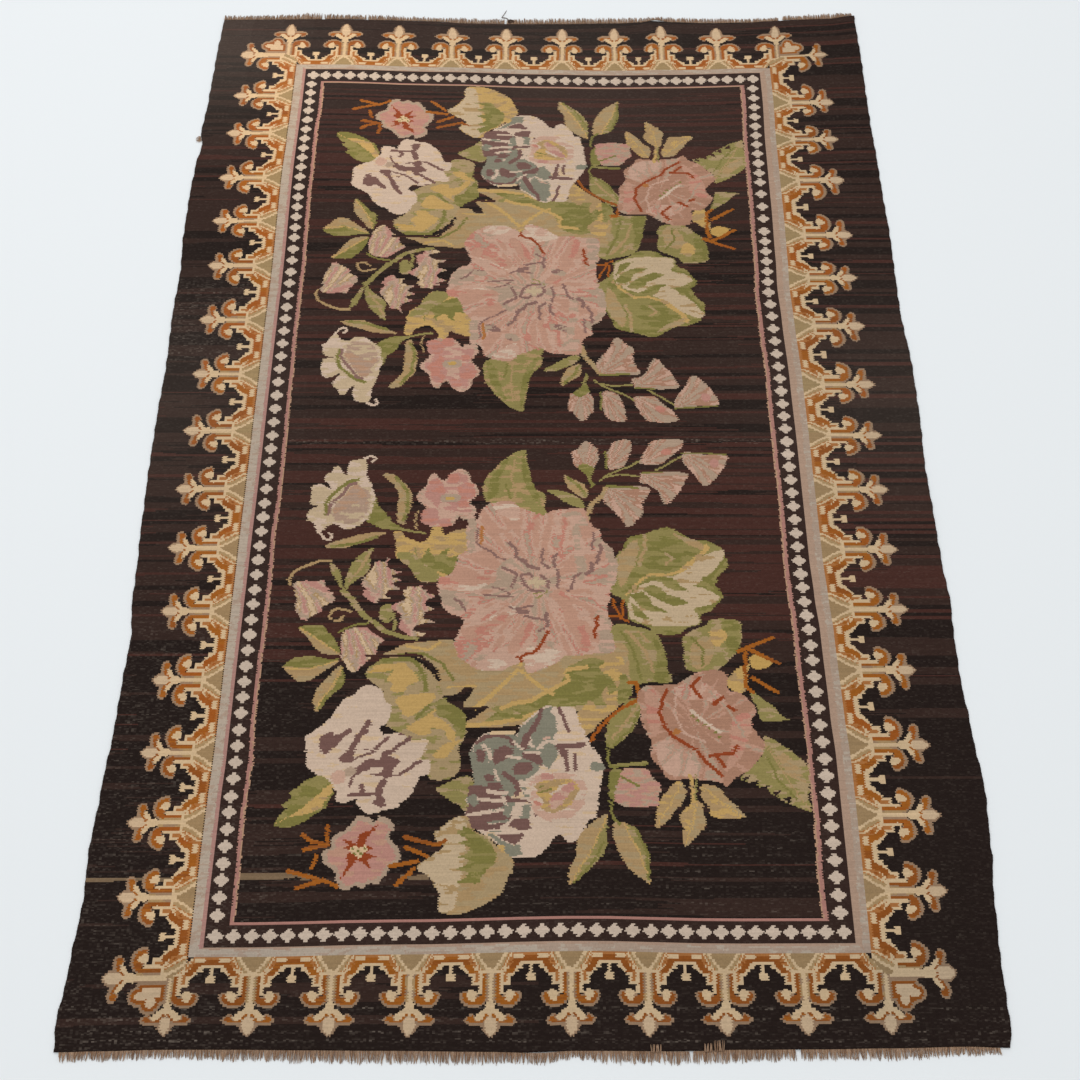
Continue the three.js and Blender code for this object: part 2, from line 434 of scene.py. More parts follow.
@dataclass
class Cartoon:
    """One bouquet's part of the draft, with every crossing's place in the cartoon.

    The weaver wove one cartoon twice, the second time turned over for the head. The
    cartoon's coordinates are the real ones of the foot bouquet.
    """

    yarn: Array
    ground: Array
    x: Array
    y: Array
    grain: list[Array]

    def window(self, low: Point, high: Point) -> tuple[slice, ...]:
        """Find the picks and columns that a box of the cartoon can touch.

        Args:
            low: The box's lowest x and y.
            high: Its highest x and y.

        Returns:
            A slice of picks and a slice of columns, or all of a plain list of crossings.
        """
        if self.x.ndim == 1:
            return (slice(None),)
        spare_x, spare_y = 16, 30
        y = self.y[:, self.y.shape[1] // 2]
        x = self.x[self.x.shape[0] // 2]
        rows = np.nonzero((y > low[1] - spare_y) & (y < high[1] + spare_y))[0]
        columns = np.nonzero((x > low[0] - spare_x) & (x < high[0] + spare_x))[0]
        return slice(rows.min(), rows.max() + 1), slice(columns.min(), columns.max() + 1)

    def fill(self, inside: Array, where: tuple[slice, ...], mix: Mix, grain: Array | None = None) -> None:
        """Weave a masked part of a window.

        Args:
            inside: The mask.
            where: The window.
            mix: One wool, a streaky mix, or nothing for the plain ground.
            grain: Which wool of the mix comes where, if it isn't the draft's own streaks.
        """
        if mix is None:
            self.yarn[where][inside] = self.ground[where][inside]
            return
        if isinstance(mix, Yarn):
            self.yarn[where][inside] = mix
            return
        if grain is None:
            grain = self.grain[len(mix) % 2][where][inside]
        bobbins = np.array([int(wool) for wool, _ in mix])
        limits = np.cumsum([share for _, share in mix])
        pick = np.searchsorted(limits / limits[-1], grain, side="right")
        self.yarn[where][inside] = bobbins[np.clip(pick, 0, len(bobbins) - 1)]

    def mask(self, outline: Route, sharp: bool) -> tuple[Array, tuple[slice, ...]]:
        """Find the crossings inside a closed outline.

        Args:
            outline: Points round it.
            sharp: Join them by straight lines instead of a smooth curve.

        Returns:
            The mask, and the window it lies in.
        """
        curve = read(outline) if sharp else smooth_closed(read(outline))
        where = self.window(tuple(curve.min(0)), tuple(curve.max(0)))
        x, y = self.x[where], self.y[where]
        inside = np.zeros(x.shape, bool)
        for (ax, ay), (bx, by) in zip(curve, np.roll(curve, -1, 0)):
            if ay == by:
                continue
            crosses = (y < ay) != (y < by)
            inside ^= crosses & (x < ax + (y - ay) * (bx - ax) / (by - ay))
        return inside, where

    def patch(self, mix: Mix, outline: Route, sharp: bool = False) -> None:
        """Weave a closed patch.

        Args:
            mix: Its wool, or its wools with their shares.
            outline: Points round it.
            sharp: Join them by straight lines instead of a smooth curve.
        """
        inside, where = self.mask(outline, sharp)
        self.fill(inside, where, mix)

    def rays(self, mix: Mix, outlines: str, centre: Point, seed: int) -> None:
        """Weave patches whose wools change in rays from a centre, as the veins of petals run.

        Args:
            mix: Their wools with their shares.
            outlines: Points round each, parted by semicolons.
            centre: Where the rays come from.
            seed: Which rays to draw.
        """
        rings, count, ring, grain = 6, 64, 60, 0.12
        knots = np.random.default_rng(seed).random((rings, count))
        for outline in outlines.split(";"):
            inside, where = self.mask(outline, False)
            x, y = self.x[where][inside] - centre[0], self.y[where][inside] - centre[1]
            r = np.clip(np.hypot(x, y) / ring, 0, rings - 1.01)
            a = (np.arctan2(y, x) / (2 * math.pi) + 0.5) * count
            r0, a0 = r.astype(int), a.astype(int)
            fr, fa = r - r0, a - a0
            a0, a1 = a0 % count, (a0 + 1) % count
            value = (knots[r0, a0] * (1 - fa) + knots[r0, a1] * fa) * (1 - fr)
            value += (knots[r0 + 1, a0] * (1 - fa) + knots[r0 + 1, a1] * fa) * fr
            value += grain * self.grain[1][where][inside]
            self.fill(inside, where, mix, np.argsort(np.argsort(value)) / value.size)

    def line(self, mix: Mix, points: Route, width: float, tip: float | None = None) -> None:
        """Weave a line.

        Args:
            mix: Its wool, or its wools with their shares.
            points: Points along it.
            width: Its width where it starts.
            tip: Its width where it ends, if that differs.
        """
        route = read(points)
        tip = width if tip is None else tip
        where = self.window(tuple(route.min(0) - width), tuple(route.max(0) + width))
        x, y = self.x[where], self.y[where]
        inside = np.zeros(x.shape, bool)
        spans = np.linalg.norm(np.diff(route, axis=0), axis=1)
        total, gone = spans.sum(), 0.0
        for a, b, span in zip(route[:-1], route[1:], spans):
            t = ((x - a[0]) * (b[0] - a[0]) + (y - a[1]) * (b[1] - a[1])) / span**2
            t = np.clip(t, 0, 1)
            off = np.hypot(x - a[0] - t * (b[0] - a[0]), y - a[1] - t * (b[1] - a[1]))
            inside |= off <= (width + (tip - width) * (gone + t * span) / total) / 2
            gone += span
        self.fill(inside, where, mix)

    def spots(self, mix: Mix, centres: Route, rx: float, ry: float, turn: float = 0) -> None:
        """Weave ovals of one size.

        Args:
            mix: Their wool, or their wools with their shares.
            centres: Their middles.
            rx: Half their length.
            ry: Half their width.
            turn: How far their length is turned from the picks, in degrees.
        """
        reach = max(rx, ry)
        c, s = math.cos(math.radians(turn)), math.sin(math.radians(turn))
        for middle in read(centres):
            where = self.window(tuple(middle - reach), tuple(middle + reach))
            x, y = self.x[where] - middle[0], self.y[where] - middle[1]
            inside = ((x * c + y * s) / rx) ** 2 + ((y * c - x * s) / ry) ** 2 <= 1
            self.fill(inside, where, mix)

    def leaves(self, low: Mix, high: Mix, shapes: str, vein: Mix = Yarn.GOLD) -> None:
        """Weave leaves in two halves that meet in teeth along the midrib.

        Args:
            low: The wools of the half below the rib, or left of a steep one.
            high: The wools of the other half.
            shapes: Each leaf's outline and, after a slash, its rib, parted by semicolons.
            vein: The wool of the thin line between the halves.
        """
        tooth, rib_width, rib_tip = 12, 4, 3
        for shape in shapes.split(";"):
            outline, rib = shape.split("/")
            inside, where = self.mask(outline, False)
            route = read(rib)
            across = int(np.ptp(route[:, 0]) < np.ptp(route[:, 1]))
            route = route[np.argsort(route[:, across])]
            along, off = [(self.x, self.y), (self.y, self.x)][across]
            teeth = tooth * (self.grain[0][where] - 0.5)
            edge = np.interp(along[where], route[:, across], route[:, 1 - across])
            side = off[where] + teeth > edge
            self.fill(inside & ~side, where, low)
            self.fill(inside & side, where, high)
            self.line(vein, rib, rib_width, rib_tip)

    def draw(self, mix: Mix, shapes: str) -> None:
        """Weave patches and lines in one wool or mix, from the back to the front.

        Args:
            mix: The wool, the wools with their shares, or nothing for the plain ground.
            shapes: Outlines and routes, parted by semicolons. One that starts with a width
                is a line, and with two widths, as 9>5, a line that changes from the first
                to the second. One that starts with a bar is a patch with straight edges.
        """
        for shape in shapes.split(";"):
            lead, route = shape.split(maxsplit=1)
            if "," in lead:
                self.patch(mix, shape)
            elif lead == "|":
                self.patch(mix, route, True)
            else:
                width, *tip = map(float, lead.split(">"))
                self.line(mix, route, width, *tip)


@dataclass
class Guard:
    """The star stripe round the field, with the pink line inside it and the shell band out.

    Each size is given for the ends, the left side and the right side.
    """

    stripe: Sizes = (46, 48, 51)
    line: Sizes = (6, 10, 11.5)
    band: Sizes = (20.5, 29, 30.5)
    blush: Sizes = (5, 8, 15)
    star_inset: Sizes = (23, 21, 26)
    # Where some of the stars of each side stand, by their number along it
    left_stars: Route = "0,-1232 8,-937 16,-630 24,-319 32,-8 40,314 48,626 56,915 65,1235"
    right_stars: Route = (
        "0,-1225 8,-931 13,-733 18,-540 24,-323 32,-27 38,200 44,438 50,646 54,822 60,1031 "
        "65,1216"
    )
    foot_stars: Route = "0,-665 5,-478 10,-294 15,-106 20,84 25,270 30,448 35,630"
    head_stars: Route = "0,-653 5,-475 10,-291 15,-112 20,77 25,257 30,429 35,618"
    # Half width of a star at growing distances along the rug from its middle
    star_steps: Route = "3,16 6,13 9,9 14.5,4.6"
    # How far the pink line wavers with the dye lots and with the streaks, except near a corner
    waver: Pair = (4, 3)
    steady_corner: float = 20
    # The pink share of that line and its ragged edge, then the share of each side's shell band
    # that is woven in the other side's wool, and the ragged edge of the blush along it
    pink_share: float = 0.7
    pink_ruffle: float = 0.3
    turned_share: float = 0.25
    blush_ruffle: float = 3

    def weave(self, draft: Draft) -> None:
        """Weave the stripe, its stars and its lines.

        Args:
            draft: The draft to weave into.
        """
        left, foot = draft.nx < 0, draft.ny < 0
        p = np.abs(draft.toothed_nx) - np.where(left, WEB.left_line, WEB.right_line)
        q = np.abs(draft.ny) - np.where(foot, WEB.foot_line, WEB.head_line)
        # The straight lines run true: their teeth are finer, and the pink line wavers
        p = p - 0.5 * np.sign(draft.nx) * (draft.toothed_nx - draft.nx)
        waver = self.waver[0] * (draft.lot - 0.5) + self.waver[1] * (draft.grain[1] - 0.5)

        def side(sizes: Sizes) -> Array:
            """Pick the left side's size or the right side's."""
            return np.where(left, sizes[1], sizes[2])

        inside = (p < 0) & (q < 0)
        in_side, in_end = inside & (-p < side(self.stripe)), inside & (-q < self.stripe[0])
        at_corner = -q < self.stripe[0] + self.steady_corner
        side_line = -p - side(self.stripe) + np.where(at_corner, 0, waver)
        end_line = -q - self.stripe[0]
        lined = (side_line < side(self.line)) | (end_line < self.line[0])
        in_line = inside & ~in_end & (side_line > 0) & lined
        share = np.minimum(side_line / side(self.line), end_line / self.line[0])
        share = share + self.pink_ruffle * (draft.grain[0] - 0.5)
        draft.yarn[in_side | in_end] = Yarn.UMBER
        wool = np.where(share < self.pink_share, Yarn.LINE_PINK, Yarn.LINE_PEACH)
        draft.yarn[in_line] = wool[in_line]
        self.stars(draft, in_end, -q - self.star_inset[0], draft.toothed_x, foot, True)
        in_side = in_side & ~in_end
        self.stars(draft, in_side, -p - side(self.star_inset), draft.y, left, False)
        band = ~inside & (p < side(self.band)) & (q < self.band[0])
        turned = draft.grain[1] < self.turned_share
        outer = np.where(left ^ turned, Yarn.SHELL, Yarn.SHELL_DARK)
        inner = np.where(left & (p > q), Yarn.SHELL_PINK, Yarn.SHELL_WARM)
        blush = np.where(p > q, side(self.blush), self.blush[0])
        near = np.maximum(p, q) < blush + self.blush_ruffle * (draft.grain[0] - 0.5)
        draft.yarn[band] = np.where(near, inner, outer)[band]

    def stars(
        self,
        draft: Draft,
        zone: Array,
        off: Array,
        along: Array,
        first: Array,
        at_end: bool,
    ) -> None:
        """Set a row of stepped stars down the stripe on two facing sides.

        Args:
            draft: The draft to weave into.
            zone: The crossings of the stripe there.
            off: Distance from the row's middle line.
            along: Place along the row.
            first: Which crossings belong to the foot or the left side.
            at_end: Whether the rows run across the rug.
        """
        gap = np.zeros(off.shape)
        pairs = (self.foot_stars, self.head_stars) if at_end else (self.left_stars, self.right_stars)
        for rows, here in zip(pairs, (first, ~first)):
            number, place = read(rows).T
            stars = np.interp(np.arange(number[-1] + 1), number, place)
            k = np.searchsorted((stars[1:] + stars[:-1]) / 2, along)
            gap = np.where(here, along - stars[k], gap)
        along_rug, across_rug = (off, gap) if at_end else (gap, off)
        woven = np.zeros(off.shape, bool)
        for step, half in read(self.star_steps):
            woven |= (np.abs(along_rug) < step) & (np.abs(across_rug) < half)
        draft.yarn[woven & zone] = Yarn.STAR


@dataclass
class Palmettes:
    """The outer border: scrolled palmettes on stems, with hooked pendants between them.

    A palmette is set out on its own scale: first the distance from the stem's middle,
    80 at the pendant, then the distance out from the band's inner line.
    """

    base: float = 20
    half_repeat: float = 80
    # Where a palmette starts on each side, out from the band, and how far it is stretched
    left_start: Pair = (29, 1.08)
    right_start: Pair = (30.5, 1.01)
    corner_across: float = 56
    corner_along: float = 64
    crown_foot: float = 117
    wing_foot: float = 128
    wing_top: float = 150
    wing_root: float = 20
    side_lean: float = 0.25
    side_slimness: float = 1.18
    ring: float = 7
    # Half the width of the corner's bare stem with its outline, and without
    stalk: Pair = (9, 4.5)
    # The shares of the rust wool that came out browner and redder
    brown_share: float = 0.3
    red_share: float = 0.25
    # The cartouche: its body's span across and along, then each lobe's middle and half sizes
    cartouche_body: Sizes = (74, 111, 84, 104)
    cartouche_lobes: Route = "112,101,14,9 92,112,10,14"
    # How far the bays of the sides' palmettes draw in at each height. It is all of that up to
    # the first distance from the stem and fades out by the second.
    side_pinch: Route = "20,0 31.4,5.7 37.4,5 42.8,5.5 50,4 55,0"
    bay: Pair = (20, 40)
    head_stems: str = "-733 -569 -413 -255 -97 68 221 358 521 698"
    foot_stems: str = "-749 -581 -419 -259 -95 68 223 378 540 707"
    left_stems: str = (
        "-1321 -1157 -996 -838 -665 -492 -325 -162 6 179 350 531 685 840 1008 1152 1315"
    )
    right_stems: str = (
        "-1308 -1143 -979 -820 -640 -488 -330 -165 -8 144 329 487 631 830 981 1122 1319"
    )
    # The sides' palmettes and the head's are drawn out: their heights, and the foot's
    side_heights: Route = (
        "0,0 20,20 28,25 37.7,31.5 45,37.4 55,42.8 75,61 106,93 115,104 129,115.5 136.5,121 "
        "145,126 155,139 160,144 163,151 170,154 178.7,161 194,177 300,283"
    )
    head_heights: Route = "0,0 95,95 129,126 165,161 193,177 300,284"

    # One half of a palmette at the foot, from the back to the front, and the crown over it
    body: tuple[tuple[Mix, str], ...] = (
        (Yarn.APRICOT, """
            | 30,19 81,19 81,26 38,26; | 5,57 24.5,58 30,54.5 35,49.5 41,43 45,36 46,25 36,19 30,19 14,44"""),
        (Yarn.FAWN, "| 9,57 14,57 20,51 26.5,42 33,31 37,19 30,19 14,44"),
        (Yarn.CREAM, """
            | 39,19 42,19 42,25 35.5,36 29.5,44.5 24,51.5 20,56 17,56 21,51 27.5,43 33.5,33.5 38,24;
            | 0,55 9,55 13,50 19.5,40.5 27.5,30.5 35,19 25,19 17,35 9,45 0,50"""),
        (Yarn.OLIVE, "| 0,19 25,19 24,25 21.5,30.5 17,35.5 13.5,40.5 9,45.7 5.5,50 0,51.5"),
        (Yarn.CREAM, """
            | 19,83 38.5,83 38.5,66 45,65 46,60 53,58 54,53 63,52 63.5,43 81,42.8 81,36 50,36 19,58"""),
        (Yarn.RUST_GOLD, """
            | 24.5,62 34,62 44,60.5 46,55 51,50 54,44.5 58,39 62,37.4 81,37.4 81,25 65,25 65,31.5 46,31.5
            44,37 40,44 35,50 30,55 24.5,58"""),
        (Yarn.CREAM, "| 45,24.5 66,24.5 66,32 45,32; | 26,47.5 31.5,47.5 31.5,53 26,53"),
        (Yarn.RUST_GOLD, "| 35,37.5 40,37.5 40,41.5 35,41.5"),
        (Yarn.APRICOT, "| 25,58 32,58 32,77 25,77"),
        (Yarn.CREAM, """
            | 76.8,40 81,40 81,63 76.8,63; | 71,62 81,62 81,75.5 71,75.5; | 0,55 24.5,55 25,101 0,101"""),
        (Yarn.RUST_GOLD, "| 9.5,61 17.3,61 17.3,113 9.5,113"),
        (((Yarn.TAUPE, 0.5), (Yarn.FAWN, 0.5)), "| 4.5,61 9.8,61 9.8,114 4.5,114"),
        (Yarn.CREAM, "| 0,100 4.6,100 4.6,120 0,120"),
        (Yarn.TAUPE, """
            8,113 12,119 20,123.5 30,126 42,125.5 50,122 56,116 60,109 61,102 58,97 50,95 30,100 17,106
            10,112"""),
        (Yarn.RUST_GOLD, """
            9.5,103 10,111 14,116.5 22,120.5 32,121.5 42,120.5 49,117 54,110 55.5,103 53,98 46,97 40,105
            30,106 17.5,104"""),
        (Yarn.CREAM, """
            17.3,96 22,100 28,101 30,110 33.5,115.5 39,114 44,109 47.5,102 46.5,96 42,93 36,92.5 31,95
            27,99 25,97 24.5,90 17.5,90"""),
    )
    crown: tuple[tuple[Mix, str], ...] = (
        (Yarn.TAUPE, """
            9,147 11,158 14,162 26,161.5 38,161 46,157.5 52,150.5 49,146.5 44,142.5 37,138 31,139.5
            29,143; 0,140 9,144 17,152 17.5,163 14,171 7,178 0,181"""),
        (Yarn.RUST_GOLD, """
            2,138 8,138 14,144 19,150.5 28,151 33,147 33,142 40,143 45,147 46,150.5 42,153.5 30,155
            18,154.5 11,151 8,144.5 2,144.5"""),
        (Yarn.CREAM, """
            -8,117 8.5,117 9,126 17,131.5 23,136.5 29,142 30.5,146 28,150 20,151 13.5,146 8.5,139 3,137
            3,145 -3,145 -8,137"""),
        (Yarn.BUD, "-4,140 2.5,141 3,144.5 9,146 11.3,152 11.5,163 8.5,171 4,177 -4,179"),
    )

    def spaced(self, at: Array, stems: str) -> Array:
        """Measure from the nearest stem, on the palmette's own scale.

        Args:
            at: Places along the border.
            stems: The stems' places, in rising order.

        Returns:
            The distances, 80 half way between two stems.
        """
        s = np.array(stems.split(), float)
        k = np.clip(np.searchsorted(s, at) - 1, 0, len(s) - 2)
        gap = s[k + 1] - s[k]
        u = np.minimum(at - s[k], s[k + 1] - at) * 2 * self.half_repeat / gap
        beyond = np.maximum(s[0] - at, at - s[-1])
        return np.where(beyond > 0, beyond, u)

    def cartouche(self, p: Array, q: Array, grow: float) -> Array:
        """Mark the two-lobed cartouche in the crook of a corner.

        Args:
            p: Distance out from the band across the rug.
            q: Distance out from the band along the rug.
            grow: How far beyond the cartouche's own edge to mark.

        Returns:
            Which crossings are in it.
        """
        p0, p1, q0, q1 = self.cartouche_body
        inside = (p > p0 - grow) & (p < p1 + grow) & (q > q0 - grow) & (q < q1 + grow)
        for at_p, at_q, half_p, half_q in read(self.cartouche_lobes):
            off = ((p - at_p) / (half_p + grow)) ** 2 + ((q - at_q) / (half_q + grow)) ** 2
            inside = inside | (off < 1)
        return inside

    def weave(self, draft: Draft) -> None:
        """Weave the border on all four sides and turn it at the corners.

        Args:
            draft: The draft to weave into.
        """
        left, foot = draft.nx < 0, draft.ny < 0
        p = np.abs(draft.toothed_nx) - np.where(left, WEB.left_line, WEB.right_line)
        q = np.abs(draft.ny) - np.where(foot, WEB.foot_line, WEB.head_line)
        (left_at, left_scale), (right_at, right_scale) = self.left_start, self.right_start
        across, along = draft.toothed_x, draft.y
        end_stems = [self.spaced(across, stems) for stems in (self.foot_stems, self.head_stems)]
        side_stems = [self.spaced(along, stems) for stems in (self.left_stems, self.right_stems)]
        side_u = np.where(left, *side_stems)
        side_v = np.where(left, (p - left_at) * left_scale, (p - right_at) * right_scale)
        side_v = np.interp(side_v + self.base, *read(self.side_heights).T)
        # The sides' crowns are slimmer, and their wings lean outward
        lean = self.side_lean * np.clip(side_u - self.wing_root, 0, self.wing_root)
        side_v = np.where(side_v > self.wing_foot, np.maximum(side_v - lean, self.wing_foot), side_v)
        wing = self.wing_foot, self.wing_top
        side_u = side_u * np.interp(side_v, wing, (1, self.side_slimness))
        # Their bays have straight sides, where the foot's curve out with the arch
        pinch = np.interp(side_v, *read(self.side_pinch).T)
        inner, outer = self.bay
        side_u = side_u + pinch * np.clip((outer - side_u) / (outer - inner), 0, 1)
        end_v = np.where(foot, q, np.interp(q, *read(self.head_heights).T))
        on_side = p / self.corner_across > q / self.corner_along
        quadrant = (p > self.corner_across) & (q > self.corner_along)
        whole = self.body + self.crown
        end = (end_v > self.base) & ~on_side & ~quadrant
        self.run(draft, end, np.where(foot, *end_stems), end_v, whole)
        side = (side_v > self.base) & on_side & ~quadrant
        self.run(draft, side, side_u, side_v, whole)
        self.turn(draft, quadrant, (p, q), (side_v, end_v))
        rust = draft.yarn == Yarn.RUST_GOLD
        draft.yarn[rust & (draft.lot < self.brown_share)] = Yarn.RUST_BROWN
        draft.yarn[rust & (draft.lot > 1 - self.red_share)] = Yarn.RUST_RED
        draft.yarn[(draft.yarn == Yarn.OLIVE) & foot] = Yarn.OLIVE_BROWN

    def run(
        self,
        draft: Draft,
        zone: Array,
        u: Array,
        v: Array,
        shapes: tuple[tuple[Mix, str], ...],
    ) -> None:
        """Weave some of a palmette's shapes into a zone.

        Args:
            draft: The draft to weave into.
            zone: The zone's crossings.
            u: Their distance from the nearest stem.
            v: Their distance out from the band's inner line.
            shapes: What to weave in each wool, from the back to the front.
        """
        yarn = draft.yarn[zone]
        grain = [streaks[zone] for streaks in draft.grain]
        c = Cartoon(yarn, yarn.copy(), u[zone], v[zone], grain)
        for mix, outlines in shapes:
            c.draw(mix, outlines)
        draft.yarn[zone] = c.yarn

    def turn(
        self,
        draft: Draft,
        quadrant: Array,
        out: tuple[Array, Array],
        heights: tuple[Array, Array],
    ) -> None:
        """Weave the crook of each corner: crossed stems, two crowns and the cartouche.

        Args:
            draft: The draft to weave into.
            quadrant: The crossings outside both stems.
            out: Distance out from the band across the rug, and along it.
            heights: The same on the palmette's own scale.
        """
        p, q = out
        wool = np.full(p.shape, -1)
        wool[self.cartouche(p, q, 2 * self.ring - 1)] = Yarn.TAUPE
        wool[self.cartouche(p, q, self.ring)] = Yarn.RUST_GOLD
        wool[self.cartouche(p, q, 0)] = Yarn.BUD
        for off, v in ((q - self.corner_along, heights[0]), (p - self.corner_across, heights[1])):
            stalk = v < self.crown_foot
            wool[stalk & (off < self.stalk[0])] = Yarn.TAUPE
            wool[stalk & (off < self.stalk[1])] = Yarn.CREAM
        put = quadrant & (wool >= 0)
        draft.yarn[put] = wool[put]
        self.run(draft, quadrant, q - self.corner_along, heights[0], self.crown)
        self.run(draft, quadrant, p - self.corner_across, heights[1], self.crown)


@dataclass
class Ground:
    """The dark ground: three lots of wool that ran out one after another."""

    # From foot to head: where madder wool ran, and where the near-black did
    madder: Route = (
        "-1461,0.0 -620,0.05 -540,0.45 -420,0.6 -180,0.75 -110,0.5 -30,0.2 30,0.1 120,0.3 200,0.15 300,0.3 "
        "380,0.45 450,0.3 520,0.15 720,0.2 800,0.6 920,0.7 1000,0.45 1100,0.6 1140,0.3 1200,0.1 1461,0.2"
    )
    soot: Route = (
        "-1461,0.95 -1150,0.9 -900,0.8 -600,0.65 -450,0.3 -150,0.3 0,0.7 150,0.5 300,0.5 500,0.6 700,0.4 "
        "1000,0.25 1200,0.45 1461,0.5"
    )

    # What is left of those shares in the border, at its right and at its left, and of the
    # near-black in the field, below and above a line near the foot. A part of the near-black
    # isn't woven at all.
    border_madder: Pair = (0.3, 0.15)
    border_soot: Pair = (1.3, 1)
    field_soot: Pair = (1, 0.55)
    field_change: float = -620
    soot_woven: float = 0.85

    def weave(self, draft: Draft, noise: Rows) -> None:
        """Lay the three wools in long streaks.

        Args:
            draft: The draft to weave into.
            noise: Where the streaks come from.
        """
        madder_streaks = noise.streaks(length=420, height=9)
        madder = ease(self.madder, draft.y)
        in_field = (np.abs(draft.nx) < WEB.right_line) & (np.abs(draft.ny) < WEB.head_line)
        on_right = draft.x > 0
        madder = madder * np.where(in_field, 1, np.where(on_right, *self.border_madder))
        soot = ease(self.soot, draft.y)
        field_soot = np.where(draft.y < self.field_change, *self.field_soot)
        soot = soot * np.where(in_field, field_soot, np.where(on_right, *self.border_soot))
        draft.yarn[:] = Yarn.UMBER
        soot_streaks = noise.streaks(length=300, height=14)
        draft.yarn[soot_streaks < soot * self.soot_woven] = Yarn.SOOT
        draft.yarn[madder_streaks < madder] = Yarn.MADDER


LEAF_TAN = ((Yarn.TAN, 0.7), (Yarn.SAND, 0.3))
LEAF_GOLD = ((Yarn.GOLD, 0.7), (Yarn.TAN, 0.3))
LEAF_SAGE = ((Yarn.SAGE, 0.75), (Yarn.SAND, 0.25))
LEAF_DULL = ((Yarn.TAN, 0.5), (Yarn.SAND, 0.5))
LEAF_GREEN = ((Yarn.GREEN, 0.62), (Yarn.SAGE, 0.38))
LEAF_BRONZE = ((Yarn.TAN, 0.7), (Yarn.GOLD, 0.3))
LEAF_DEEP = ((Yarn.SAGE, 0.6), (Yarn.GREEN, 0.4))
ROSE_WARM = ((Yarn.ROSE, 0.4), (Yarn.BLUSH, 0.38), (Yarn.SALMON, 0.12), (Yarn.GREIGE, 0.1))
ROSE_DEEP = ((Yarn.ROSE, 0.7), (Yarn.SALMON, 0.3))
ROSE_PALE = ((Yarn.BLUSH, 0.62), (Yarn.GREIGE, 0.22), (Yarn.ROSE, 0.16))
BELL_PINK = ((Yarn.GREIGE, 0.45), (Yarn.DUSK, 0.35), (Yarn.BLUSH, 0.2))
PALE_PETAL = ((Yarn.PETAL, 0.9), (Yarn.BUD, 0.1))
DUSK_ROSE = ((Yarn.DUSK, 0.75), (Yarn.ROSE, 0.17), (Yarn.GREIGE, 0.08))
PETAL_PALE = ((Yarn.PETAL, 0.5), (Yarn.BLUSH, 0.5))
PETAL_DULL = ((Yarn.GREIGE, 0.62), (Yarn.BLUSH, 0.38))
PALE_SLATE = ((Yarn.PETAL, 0.8), (Yarn.SLATE, 0.2))
SALMON_PINK = ((Yarn.SALMON, 0.55), (Yarn.PINK, 0.45))
BELL_GREIGE = (
    (Yarn.PINK, 0.22),
    (Yarn.BLUSH, 0.18),
    (Yarn.GREIGE, 0.3),
    (Yarn.FAWN, 0.12),
    (Yarn.BUD, 0.18),
)


